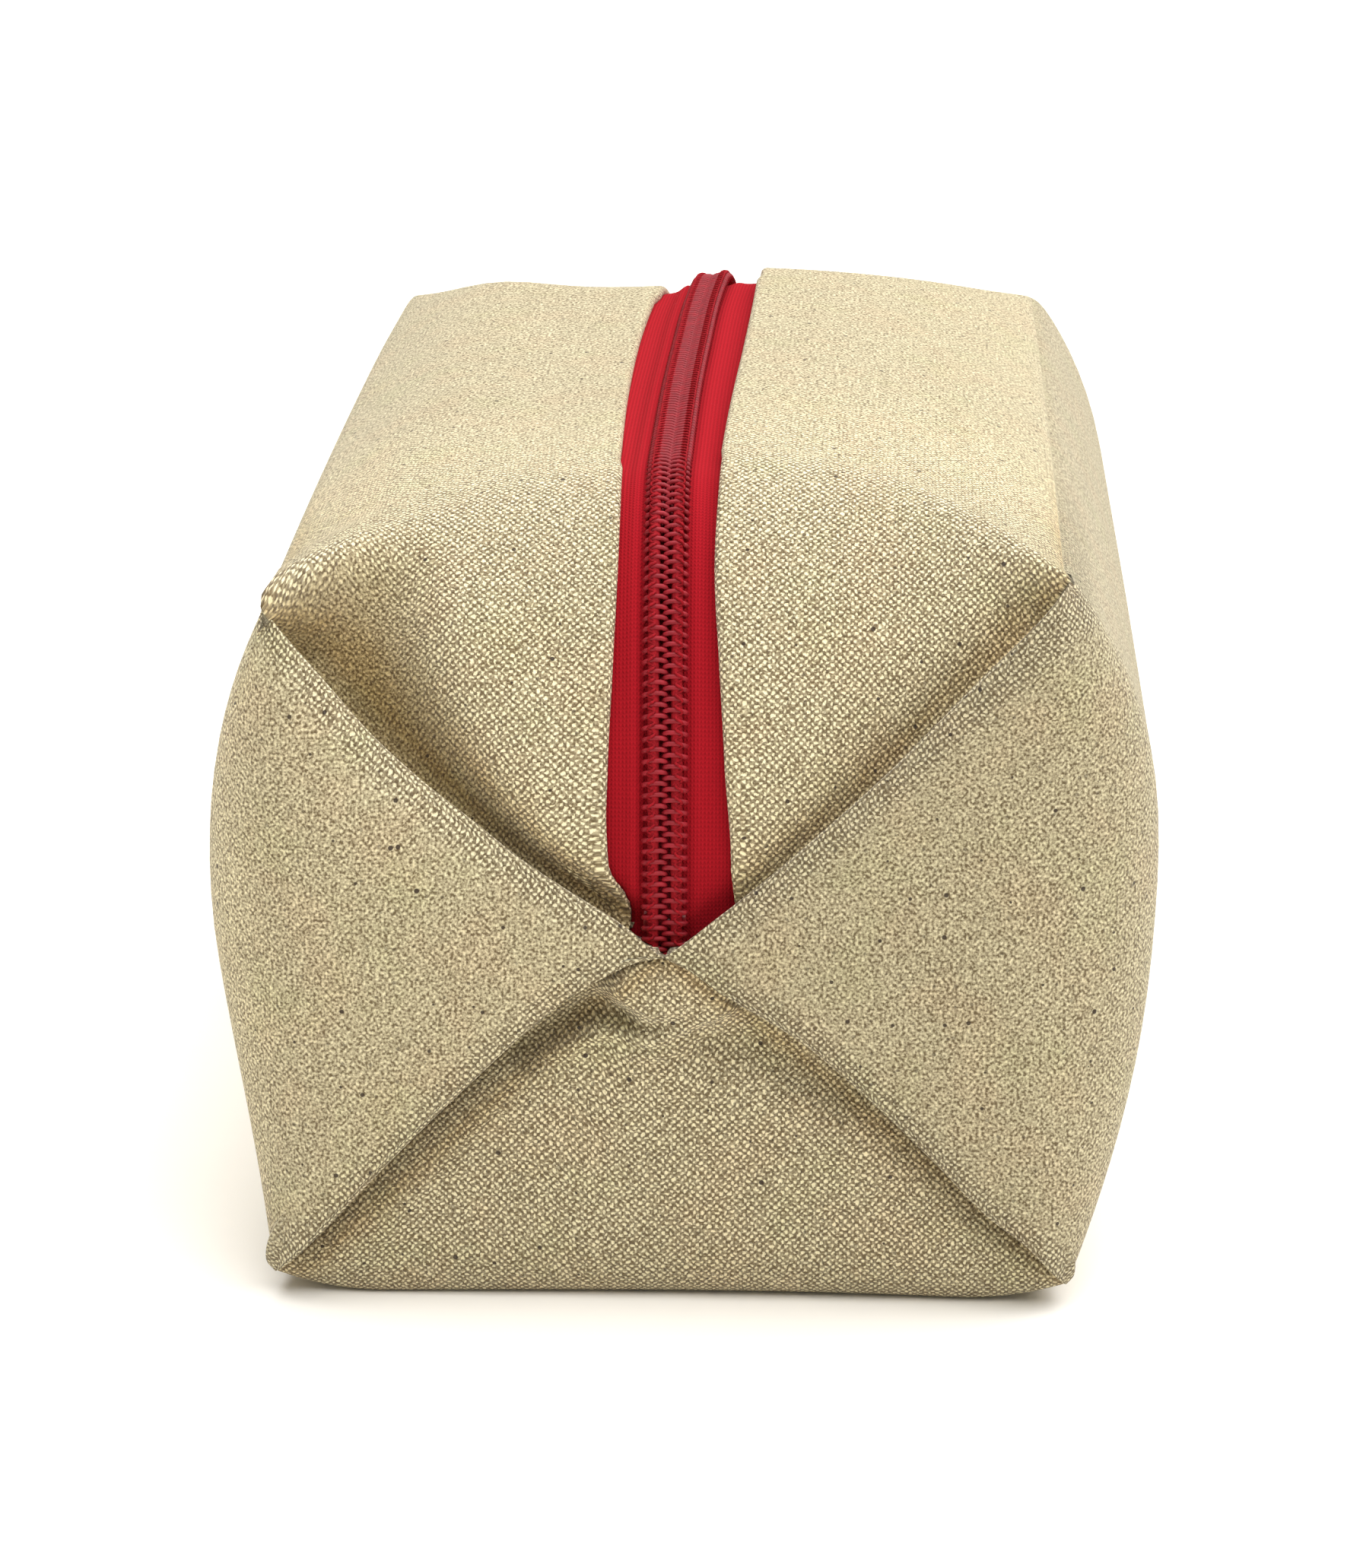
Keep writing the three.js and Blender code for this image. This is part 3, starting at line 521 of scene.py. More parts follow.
def paint_finish(colours):
    """Enamel on die cast zinc."""
    return grained_finish(
        "slider_enamel", colours.paint, noise=(700.0, 2.0, 0.5), steps=(0.3, 0.8), shades=(0.85, 1),
        rough=(0.28, 0.15), bump=(0.02, 0.3), inputs={"Coat Weight": 0.4},
    )


def steel_finish():
    """Bare spring steel with fine tumbling marks."""
    return grained_finish(
        "spring_steel_finish", (0.5, 0.5, 0.49), noise=(1800.0, 4.0, 0.7), steps=(0.3, 0.8),
        shades=(0.8, 1), rough=(0.25, 0.2), bump=(0.01, 0.4), inputs={"Metallic": 0.95},
    )


def binding_finish(colours):
    """Cotton twill tape."""
    finish = Finish("binding_twill")
    cloth = finish.cloth().scaled(1 / MM)
    u, v, _ = cloth.split()
    twill = ((u + v) * (2 * math.pi / 0.7)).cosine()
    grain = cloth.noise(2.0, 3.0, 0.7)
    tone = (twill * 0.2 + grain * 0.6 + 0.2).clamp()
    finish.set("Base Color", tone.mix(colour(colours.canvas_gap), colour(colours.canvas)))
    finish.set("Roughness", 0.9)
    finish.bump(twill + grain, 0.08 * MM, 0.7)
    return finish.material


def floor_finish():
    """Pale paper sweep."""
    finish = Finish("studio_paper")
    grain = finish.place().noise(60.0, 3.0, 0.6)
    finish.set("Base Color", grain.mix((0.95, 0.925, 0.86, 1.0), (0.97, 0.945, 0.88, 1.0)))
    finish.set("Roughness", 0.9)
    finish.set("Specular IOR Level", 0.1)
    return finish.material


class Pouch:
    """Surface of the canvas (mm): both ends, from their middle to their outline, and the body between."""

    edge_radii = ((0.8, 1.6), (1.4, 1.6), (1.0, 1.0), (0.8, 1.6))
    flap_proud = 3.6
    flap_thickness = 2.0
    pocket_depth = 7.0
    tip_overlap = 1.5
    top_reach_front = 39.0
    rear_straight = 13.7
    # Corners of the cross section at the front and the rear: how far the base right one lies outside
    # the base reach, how far the top ones lie under the top, and how high both base ones lie.
    base_right_extra = (1.7, 0.8)
    right_drop, left_drop = (7.3, 9.0), (12.8, 10.0)
    base_corner_height = 3.0
    # Depth and reach of the turn from an end onto the body: of a flap at its corners, at its upper
    # rear corner and at its middle, and of the top at its corners, front and rear.
    flap_turns = ((6, 8), (7.5, 11), (15.8, 24.7))
    top_turns = ((2.4, 8), (3.9, 9.5))
    # Depth of that turn at the base's corners and middle, and its reach.
    base_turn = (2.4, 5.2, 9.0)
    # Height, place and width of the lift at the left, how much the left lies lower, and the lift at
    # the right.
    left_lift = (2.9, 0.72, 0.25, 0.8)
    right_lift = 2.2
    hem_reach = 8.0
    end_rows = 140
    rear_rows = 54
    body_rows = 30
    flap_columns = 30
    base_columns = 44
    half_columns = 18
    roll_columns = 8
    hem_columns = 6

    def __init__(self, sizes, even=False):
        self.even = even
        self.half = sizes.length / MM / 2
        self.height = sizes.height / MM - 0.5
        self.seam = sizes.seam_height / MM
        self.corner_reach = sizes.corner_reach / MM
        self.base_reach = sizes.base_reach / MM
        self.left_bulge = sizes.left_bulge / MM
        self.right_bulge = sizes.right_bulge / MM
        self.cloth = sizes.cloth_thickness / MM
        self.rise = self.height - self.seam
        self.rear_radius = self.rise - self.rear_straight
        self.relief = [(*settings, smooth_line(places)) for *settings, places in FRONT_RELIEF]
        self.folds = {}

    def corner(self, index, t):
        """A corner of the cross section at t, 0 at the front and 1 at the rear."""
        index %= 4
        t = np.asarray(t, float)
        if index in (0, 3):
            right, left = self.base_reach + blend(*self.base_right_extra, t), -self.base_reach - 0.6 * (1 - t)
            x = right if index == 0 else left
            z = np.full_like(t, self.base_corner_height)
        elif index == 1:
            x = self.corner_reach + 0.3 * smoothstep(0, 0.5, t)
            z = self.height - blend(*self.right_drop, t)
        else:
            x = -self.corner_reach - 4.4 * t * (1 - t) + 0.4 * smoothstep(0.75, 1, t)
            z = self.height - blend(*self.left_drop, t)
        return np.stack([x, z], -1)

    def outline(self, sector, across, t):
        a, b = self.corner(sector, t), self.corner(sector + 1, t)
        point = a + (b - a) * ((1 + across) / 2)[..., None]
        mid = 4 * t * (1 - t)
        if sector == RIGHT:
            point[..., 0] += self.right_bulge * (1 - np.abs(across) ** 2.4) * (1 + 0.27 * across)
        elif sector == LEFT:
            bulge = blend(self.left_bulge, 4.2, mid)
            point[..., 0] -= bulge * (1 - np.abs(across) ** 1.8) * (1 - 0.53 * across)
        elif sector == TOP:
            drop = self.height - blend(a[..., 1], b[..., 1], 0.5)
            point[..., 1] += drop * (1 - np.abs(across) ** 2.2)
            point[..., 1] += self.lift(across, t)
        else:
            point[..., 1] = 3 * (np.maximum(0, np.abs(across) - 0.72) / 0.28) ** 2
        return self.soften(point, sector, t)

    def lift(self, across, t):
        """How much higher the top stands half way along the pouch."""
        right = self.right_lift * (1 - np.abs(across) ** 5)
        tall, place, width, lower = self.left_lift
        left = tall * np.exp(-(((across - place) / width) ** 2)) - lower
        return top_profile(t) * blend(left, right, smoothstep(0.12, -0.12, across))

    @staticmethod
    def turn_back(share, depth, reach, size):
        flat = np.maximum(0, 1 - reach / size)
        turned = np.maximum(0, share - flat) / (1 - flat)
        return depth * (1 - np.sqrt(np.maximum(0, 1 - turned**2)))

    def setback(self, sector, across, share, rear):
        t = np.full_like(across, 1.0 if rear else 0.0)
        size = np.linalg.norm(self.outline(sector, across, t) - np.array([0, self.seam]), axis=-1)
        middle = 1 - across**2
        upper = rear * smoothstep(0.3, 1, across if sector == RIGHT else -across)
        if sector in (RIGHT, LEFT):
            turns = zip(*self.flap_turns)
            depth, reach = (blend(blend(low, high, upper), mid, middle) for low, high, mid in turns)
            return self.turn_back(share, depth, reach, size)
        if sector == BASE:
            corner_depth, middle_depth, reach = self.base_turn
            depth = blend(corner_depth, middle_depth + 1.6 * across, middle)
            return self.flap_proud + self.turn_back(share, depth, reach, size)
        middle = 1 - np.abs(across * share) ** 3
        depth = self.rear_radius if rear else self.top_reach_front
        reach = self.rear_radius if rear else self.rise
        corner_depth, corner_reach = self.top_turns[1 if rear else 0]
        depth, reach = blend(corner_depth, depth, middle), blend(corner_reach, reach, middle)
        return self.flap_proud + self.turn_back(share, depth, reach, self.rise)

    def fold_direction(self, corner):
        """Direction in the end face from a flap towards the panel beside it."""
        along = self.corner(corner, 0.0) - np.array([0, self.seam])
        along /= np.linalg.norm(along)
        left = np.array([-along[1], along[0]])
        return -left if corner % 2 == 0 else left

    def fold_shift(self, sector, across, share, rear):
        corner = np.where(across < 0, sector, (sector + 1) % 4)
        shift = np.zeros(across.shape + (2,))
        for index in range(4):
            chosen = corner == index
            amount = -float(smooth_curve(FOLD_OFFSETS[index], np.array([share]))[0]) * (0.5 if rear else 1)
            if sector == TOP and not rear:
                amount -= self.tip_overlap * smoothstep(1.0, 0.9, share)
            shift[chosen] = self.fold_direction(index) * amount
        return shift * (across**2)[..., None]

    def end_point(self, sector, across, share, rear, plain=False):
        across = np.atleast_1d(np.asarray(across, float))
        t = np.full_like(across, 1.0 if rear else 0.0)
        flat = (self.outline(sector, across, t) - np.array([0, self.seam])) * share
        flat += self.fold_shift(sector, across, share, rear)
        y = self.half - self.setback(sector, across, share, rear)
        point = np.stack([flat[:, 0], y if rear else -y, self.seam + flat[:, 1]], -1)
        if sector == TOP:
            point[:, 2] += self.lift(across, (point[:, 1] + self.half) / (2 * self.half))
        return point if plain or self.even else self.shaped(sector, across, share, rear, point)

    def fold_place(self, corner, x, z):
        """Share of the way out along a fold and distance from the flap's edge, for places on the end face."""
        cx, cz = self.corner(corner, 0.0) - np.array([0, self.seam])
        ahead = np.clip((x * cx + z * cz) / (cx**2 + cz**2), 0, 1)
        nx, nz = self.fold_direction(corner)
        return ahead, x * nx + z * nz + smooth_curve(FOLD_OFFSETS[corner], ahead)

    def hollow(self, corner, x, z):
        """Depth of the hollow beside a flap's edge."""
        ahead, away = self.fold_place(corner, x, z)
        depth = smooth_curve(HOLLOW_DEPTHS[corner], ahead)
        left = 1 - away / smooth_curve(HOLLOW_WIDTHS[corner], ahead)
        depth *= ((np.minimum(left, 1) + np.sqrt(left**2 + 0.004)) / 2).clip(0, 1) ** HOLLOW_POWERS[corner]
        if corner == LEFT:
            below = (x - EAR_CREST[0]) * EAR_CREST_DIRECTION[1] - (z - EAR_CREST[1]) * EAR_CREST_DIRECTION[0]
            depth *= smoothstep(0.0, 2.8, below)
        return depth

    def shaped(self, sector, across, share, rear, point):
        """Moves points of an end in by its hollows and out by its swells."""
        x, z = point[:, 0], point[:, 2] - self.seam
        height = np.zeros(x.shape)
        if sector in (TOP, BASE):
            for corner in (sector, (sector + 1) % 4):
                height -= self.hollow(corner, x, z) * (0.5 if rear else 1.0) * smoothstep(1.0, 0.94, share)
        # A flap's cloth rounds off beside its rolled edges.
        if sector in (LEFT, RIGHT) and not rear:
            rolls = (1.3, 0.5) if sector == LEFT else (0.5, 1.3)
            for corner, roll in zip((sector, sector + 1), rolls):
                away = self.fold_place(corner % 4, x, z)[1]
                height -= roll * np.exp(-((away / 2.6) ** 2)) * smoothstep(0.02, 0.12, share)
        if not rear:
            ripple = 0.35 * np.sin(0.37 * x + 0.9) * np.sin(0.31 * z - 0.4)
            height += ripple * (1 - across**2) * (1 - share**4)
            for place, tall, width, power, line in self.relief:
                if place == sector:
                    height += tall * np.exp(-((line_distance(x, z, line) / width) ** power))
        lean = np.zeros(x.shape)
        if sector == TOP:
            reach = self.rear_radius if rear else self.top_reach_front
            depth = blend(2.4, reach, 1 - np.abs(across * share) ** 3)
            lean = np.arctan2(share * depth, math.sqrt(max(0.0, 1 - share**2)) * self.rise)
        if sector == BASE:
            height = np.minimum(height, self.flap_proud - 1.0)
        point[:, 1] += (1 if rear else -1) * height * np.cos(lean)
        point[:, 2] += height * np.sin(lean)
        return point

    def fold(self, corner, share, rear):
        """The flap's edge, the panel's edge under it and the radius of the roll between them."""
        key = (corner, share, rear)
        if key not in self.folds:
            flap = corner if corner % 2 == 0 else (corner + 3) % 4
            side = -1.0 if flap == corner else 1.0
            panel = (corner + 3) % 4 if flap == corner else corner
            edge = self.end_point(flap, side, share, rear)[0]
            floor = self.end_point(panel, -side, share, rear)[0]
            fade = math.sqrt(max(0.0, 1 - share**8))
            gap = abs(floor[1] - edge[1])
            radius = min(self.flap_thickness / 2, gap * 0.375, share * self.corner_reach * 0.1)
            self.folds[key] = edge, floor, radius * fade, fade
        return self.folds[key]

    def fold_strip(self, corner, share, rear):
        """The rolled edge of a flap and the open pocket behind it, from the flap to the panel."""
        edge, floor, radius, fade = self.fold(corner, share, rear)
        gap = abs(floor[1] - edge[1])
        pocket = max(min(self.pocket_depth, share * self.corner_reach * 0.5) * fade, radius)
        inwards = -1.0 if rear else 1.0
        direction = self.fold_direction(corner)

        def at(across, depth):
            return edge + np.array([direction[0] * across, inwards * depth, direction[1] * across])

        angles = np.linspace(0, math.pi, self.roll_columns + 1)[1:]
        strip = [at(-radius + radius * math.sin(a), radius * (1 - math.cos(a))) for a in angles]
        strip += [at(-pocket, 2 * radius), at(-pocket * 1.04, (2 * radius + gap) / 2)]
        return np.array([*strip, at(-pocket, gap), floor])

    def roll_share(self, corner, share, rear):
        """How much of a flap's half width the roll of its edge takes."""
        return 2 * self.fold(corner, share, rear)[2] / (66.0 * share)

    def soften(self, points, sector, t):
        """Rounds the long edges at both sides of a sector, more towards the rear and not at the front."""
        for index in (sector, sector + 1):
            corner = self.corner(index, t)
            middle, rear = self.edge_radii[index % 4]
            radius = blend(middle, rear, smoothstep(0.6, 0.95, t)) * smoothstep(0, 0.06, t)
            inward = unit(self.corner(index + 3, t) - corner) + unit(self.corner(index + 1, t) - corner)
            strength = np.linalg.norm(inward, axis=-1) / 2
            inward = unit(inward)
            distance = np.linalg.norm(points - corner, axis=-1)
            amount = strength * (np.sqrt(distance**2 + radius**2) - distance)
            points = points + inward * amount[..., None]
        return points


def top_profile(t):
    """Where the top stands higher along the pouch, from 0 at both ends to 1."""
    return smoothstep(0.1, 0.45, t) * smoothstep(1.0, 0.8, t)


def spaced(count, start=0.0, end=1.0):
    """Places between two ends, closer together near both."""
    return start + (end - start) * (1 - np.cos(np.linspace(0, math.pi, count + 1))) / 2


class ZipLine:
    """The zip's line in the middle plane, from the front end seam to the rear one, in millimetres."""

    def __init__(self, pouch):
        self.half = pouch.half
        self.lift = 0.9
        front_plane = -pouch.half + pouch.flap_proud
        rear_plane = pouch.half - pouch.flap_proud
        turn = np.linspace(0, math.pi / 2, 400)
        front_y = front_plane + pouch.top_reach_front * (1 - np.cos(turn))
        front = np.stack([front_y, pouch.seam + pouch.rise * np.sin(turn)], -1)
        radius = pouch.rear_radius
        rear_y = rear_plane - radius + radius * np.sin(turn)
        rear = np.stack([rear_y, pouch.height - radius * (1 - np.cos(turn))], -1)
        line = np.concatenate([front, rear, [[rear_plane, pouch.seam]]])
        lengths = lengths_along(line)
        self.length = lengths[-1]
        self.s = np.linspace(0, self.length, 1200)
        self.y = np.interp(self.s, lengths, line[:, 0])
        self.z = np.interp(self.s, lengths, line[:, 1])
        self.slope = unit(np.stack([np.gradient(self.y, self.s), np.gradient(self.z, self.s)], -1))

    def place(self, along, across, depth):
        """Points at lengths along the zip, distances across it and depths inwards, in metres."""
        along, across, depth = np.broadcast_arrays(*(np.asarray(a, float) for a in (along, across, depth)))
        y, z, ty, tz = (np.interp(along, self.s, values) for values in (self.y, self.z, *self.slope.T))
        z = z + np.minimum(along, 0)
        wander = smooth_curve(ZIP_WANDER, along)
        rise = (self.lift + 0.13 * across) * top_profile((y + self.half) / (2 * self.half))
        return np.stack([across + wander, y + tz * depth, z + rise - ty * depth], -1) * MM


def grid_mesh(points, uv=None):
    """A bmesh grid with its rows and columns at the given points (m), and where each vertex is in it."""
    rows, columns = points.shape[:2]
    mesh = bmesh.new()
    bmesh.ops.create_grid(mesh, x_segments=columns - 1, y_segments=rows - 1, size=1.0)
    mesh.verts.ensure_lookup_table()
    place = {}
    layer = mesh.loops.layers.uv.new(CLOTH_UV)
    for vert in mesh.verts:
        column = round((vert.co.x + 1) / 2 * (columns - 1))
        row = round((vert.co.y + 1) / 2 * (rows - 1))
        place[vert.index] = (row, column)
    for face in mesh.faces:
        for loop in face.loops:
            row, column = place[loop.vert.index]
            loop[layer].uv = uv[row, column] if uv is not None else (column * MM, row * MM)
    for vert in mesh.verts:
        row, column = place[vert.index]
        vert.co = points[row, column]
    return mesh, place


def finish_piece(name, mesh, material, smooth=True):
    """Welds a bmesh and makes it a named object with its material."""
    bmesh.ops.remove_doubles(mesh, verts=mesh.verts, dist=WELD)
    bmesh.ops.dissolve_degenerate(mesh, edges=mesh.edges, dist=WELD / 10)
    data = bpy.data.meshes.new(name)
    mesh.to_mesh(data)
    mesh.free()
    data.materials.append(material)
    if smooth:
        data.polygons.foreach_set("use_smooth", [True] * len(data.polygons))
    piece = bpy.data.objects.new(name, data)
    bpy.context.scene.collection.objects.link(piece)
    return piece


def closed_piece(name, points, material, uv=None, smooth=True):
    """A piece from rings of points (m), with its ends closed and its faces turned outwards."""
    mesh, _ = grid_mesh(points, uv)
    bmesh.ops.remove_doubles(mesh, verts=mesh.verts, dist=WELD)
    bmesh.ops.holes_fill(mesh, edges=[edge for edge in mesh.edges if edge.is_boundary], sides=0)
    bmesh.ops.recalc_face_normals(mesh, faces=mesh.faces)
    return finish_piece(name, mesh, material, smooth)


def canvas_surface(pouch, line):
    """Rows of points over the canvas (mm), and the zone that each column belongs to."""
    shares_front = np.linspace(0, 1, pouch.end_rows + 1)
    shares_front = 0.3 * shares_front + 0.7 * np.sin(shares_front * math.pi / 2)
    shares_rear = np.linspace(0, 1, pouch.rear_rows + 1)
    shares_rear = np.sin(shares_rear * math.pi / 2)
    shares_front[0] = shares_rear[0] = 0.002

    def slot_across(side, s, share):
        table = LEFT_EDGE if side > 0 else RIGHT_EDGE
        edge = float(smooth_curve(table, np.array([s]))[0])
        return side * min(edge / (pouch.corner_reach * share), 0.985), edge

    def nearest(point):
        """Length along the zip's line of its nearest place to a point."""
        return float(line.s[np.argmin((line.y - point[1]) ** 2 + (line.z - point[2]) ** 2)])

    def hem(base, s, side, edge, share):
        """The folded edge beside the zip, from the panel into the fold."""
        index = np.interp(s, line.s, np.arange(len(line.s)))
        ty, tz = line.slope[int(index)]
        r = pouch.cloth * min(1.0, max(0.05, (pouch.corner_reach * share - edge) / 3))
        x0, y0, z0 = base
        share_reach = pouch.hem_reach * min(1.0, share / 0.35)
        out = []
        for angle in np.linspace(0, math.pi, pouch.hem_columns + 1)[1:]:
            depth = r * (1 - math.cos(angle))
            out.append([x0 + side * r * math.sin(angle), y0 + tz * depth, z0 - ty * depth])
        for reach in (3.5, pouch.hem_reach):
            depth = 2 * r + 0.1 * reach / pouch.hem_reach
            out.append([x0 - side * min(reach, share_reach), y0 + tz * depth, z0 - ty * depth])
        return np.array(out)

    def full_row(point_at, strip_at, s, share, roll_at=lambda corner: 0.0):
        """One row, from the left hem round the outside to the right hem."""
        left, left_edge = slot_across(1, s, share)
        right, right_edge = slot_across(-1, s, share)
        top_left = point_at(TOP, spaced(pouch.half_columns, left, 1.0))
        top_right = point_at(TOP, spaced(pouch.half_columns, -1.0, right))

        def flap(sector):
            start, end = -1 + roll_at(sector), 1 - roll_at((sector + 1) % 4)
            return point_at(sector, spaced(pouch.flap_columns, start, end))

        return [
            ("hem", hem(top_left[0], s, 1, left_edge, share)[::-1]),
            ("top_left", top_left[:-1]),
            ("tl", strip_at(2)[::-1]),
            ("left", flap(LEFT)),
            ("bl", strip_at(3)),
            ("base", point_at(BASE, spaced(pouch.base_columns, -1, 1))[1:-1]),
            ("br", strip_at(0)[::-1]),
            ("right", flap(RIGHT)),
            ("tr", strip_at(1)),
            ("top_right", top_right[1:]),
            ("hem", hem(top_right[-1], s, -1, right_edge, share)),
        ]

    def end_row(share, rear):
        return full_row(
            lambda sector, across: pouch.end_point(sector, across, share, rear),
            lambda corner: pouch.fold_strip(corner, share, rear),
            nearest(pouch.end_point(TOP, 0.0, share, rear)[0]),
            share,
            lambda corner: pouch.roll_share(corner, share, rear),
        )

    strip_length = len(pouch.fold_strip(0, 0.5, False))

    def body_row(progress):
        def point_at(sector, across):
            front = pouch.end_point(sector, across, 1.0, False)
            plain = pouch.end_point(sector, across, 1.0, False, plain=True)
            rear = pouch.end_point(sector, across, 1.0, True)
            y = blend(plain[:, 1], rear[:, 1], progress)
            t = (y + pouch.half) / (2 * pouch.half)
            flat = pouch.outline(sector, np.asarray(across, float), t)
            points = np.stack([flat[:, 0], y, flat[:, 1]], -1)
            return points + (front - plain) * smoothstep(0.12, 0.0, progress)

        def strip_at(corner):
            point = point_at(corner, np.array([-1.0]))[0]
            return np.repeat(point[None], strip_length, 0)

        row = full_row(point_at, strip_at, nearest(point_at(TOP, np.array([0.0]))[0]), 1.0)
        parts = dict(row)
        for flap, before, after in (("left", "tl", "bl"), ("right", "br", "tr")):
            parts[flap][0] = parts[before][0]
            parts[flap][-1] = parts[after][0]
        return row

    listed = [end_row(share, False) for share in shares_front]
    listed += [body_row(progress) for progress in np.linspace(0, 1, pouch.body_rows + 1)[1:-1]]
    listed += [end_row(share, True) for share in shares_rear[::-1]]
    points = np.array([np.concatenate([part for _, part in row]) for row in listed])
    zones = np.concatenate([[kind] * len(part) for kind, part in listed[0]])
    points[[0, -1], :, 0] = 0
    points[[0, -1], :, 2] = pouch.seam
    top = np.isin(zones, ("hem", "top_left", "top_right", "tl", "tr"))
    points[0, top, 2] -= pouch.tip_overlap * (points[0, top, 1] + pouch.half) / pouch.flap_proud
    return points, zones


def cloth_coordinates(points, zones, middle_row, pouch):
    """Where each point lies on the flat cloth: round the pouch and along it."""
    rows, columns = points.shape[:2]
    steps = np.diff(points, axis=0)
    sideways = np.isin(zones, ("left", "right"))
    length = np.where(
        sideways[None, :],
        np.linalg.norm(steps[..., (0, 1)], axis=-1),
        np.linalg.norm(steps[..., (1, 2)], axis=-1),
    )
    travelled = np.concatenate([np.zeros((1, columns)), np.cumsum(length, axis=0)])
    ring = points[middle_row]
    around = lengths_along(ring)
    uv = np.stack([np.repeat(around[None], rows, 0), points[..., 1]], -1)
    first, last = pouch.end_rows, rows - pouch.rear_rows - 1
    panels = (("left", 2, -1), ("right", 2, 1), ("top_left", 0, -1), ("top_right", 0, -1), ("base", 0, 1))
    for zone, axis, turn in panels:
        chosen = np.where(zones == zone)[0]
        centre = pouch.seam if axis == 2 else 0.0
        middle = chosen[np.argmin(np.abs(ring[chosen, axis] - centre))]
        origin = around[middle] - turn * (ring[middle, axis] - centre)
        for edge, part, sign in ((first, slice(0, first + 1), 1), (last, slice(last, rows), -1)):
            place, outline = points[part][:, chosen, axis] - centre, points[edge, chosen, axis] - centre
            excess = around[chosen] - (origin + turn * outline)
            reach = np.abs(place) / (np.abs(outline) + 1e-6)
            uv[part, chosen, 0] = origin + turn * place + excess * np.clip(reach, 0, 1)
            pole = travelled[0 if sign > 0 else -1]
            from_pole = np.abs(travelled[part][:, chosen] - pole[chosen])
            base = np.abs(travelled[edge, middle] - pole[middle])
            uv[part, chosen, 1] = sign * (from_pole - base) + points[edge, middle, 1]
        for edge, part in ((first, slice(first, middle_row + 1)), (last, slice(middle_row, last + 1))):
            uv[part, chosen, 1] = points[part][:, chosen, 1] * uv[edge, chosen, 1] / points[edge, chosen, 1]
    # A flap's cloth goes on round its edge, and the top panel's into the hem.
    for zone, corner in (("tl", 2), ("bl", 3), ("br", 0), ("tr", 1)):
        chosen = np.where(zones == zone)[0]
        outwards = zone in ("bl", "tr")
        order = chosen if outwards else chosen[::-1]
        beside = order[0] + (-1 if outwards else 1)
        reach = reach_along(points, [beside, *order])
        dx, dz = pouch.fold_direction(corner)
        is_left = zone in ("tl", "bl")
        lengthwise = np.where(np.arange(rows) < middle_row, -1, 1) * (1 if is_left else -1)
        uv[:, order, 0] = uv[:, [beside], 0] + reach * dz * (-1 if is_left else 1)
        uv[:, order, 1] = uv[:, [beside], 1] + reach * dx * lengthwise[:, None]
        uv[:, order[-1]] = uv[:, order[-1] + (1 if outwards else -1)]
    hems = np.where(zones == "hem")[0]
    half = len(hems) // 2
    for order, beside in ((hems[:half][::-1], hems[half - 1] + 1), (hems[half:], hems[half] - 1)):
        reach = reach_along(points, [beside, *order])
        sign = -1 if beside > order[0] else 1
        uv[:, order, 0] = uv[:, [beside], 0] + sign * reach
        uv[:, order, 1] = uv[:, [beside], 1]
    return uv


def weave_and_painted_shading(points, zones, pouch):
    """How strongly the weave shows at each point, the painted light and shade there, and the painted shade in
    the folds.
    """
    x, y, z = np.moveaxis(points, -1, 0)
    front = smoothstep(-12, -88, y)
    flap = np.isin(zones, ("left", "right", "tl", "bl", "br", "tr"))[None, :]
    upper = np.isin(zones, ("top_left", "top_right", "hem"))[None, :]
    right_side = np.isin(zones, ("right", "br", "tr"))[None, :]
    # Painted light and shade: the right side and the left flap's front darker, the top's front lighter, as
    # the light falls.
    side = np.where(right_side, RIGHT_PAINTED_SHADING, blend(*LEFT_PAINTED_SHADING, smoothstep(-98, -104, y)))
    top = np.interp(y, *zip(*TOP_PAINTED_SHADING)) + 0.0006 * x
    base = blend(*BASE_PAINTED_SHADING, smoothstep(-20, -75, y))
    shade = np.where(flap, side, np.where(upper, top, base))
    fold = np.full(x.shape, 1e3)
    for corner in range(4):
        fold = np.minimum(fold, np.abs(pouch.fold_place(corner, x, z - pouch.seam)[1]))
    on_flap = blend(1.0, 0.3, smoothstep(1.8, 4.6, fold))
    deep = (pouch.hollow(LEFT, x.ravel(), z.ravel() - pouch.seam) / 9).clip(0, 1).reshape(x.shape)
    deep = deep * (zones == "top_left")[None, :] * smoothstep(-60, -75, y)
    panel = blend(0.22, 0.95, front) * (1 - 0.5 * deep)
    # Painted shade: darker deep in the top left hollow.
    shade = shade * (1 - 0.1 * deep)
    # Painted shade in the folds beside the flaps' edges and in the top left hollow.
    painted_fold_shade = np.where(flap, 0.0, 0.75 * front * np.exp(-fold / 1.5) + 0.35 * deep)
    return np.where(flap, blend(0.25, on_flap, front), panel), shade, painted_fold_shade


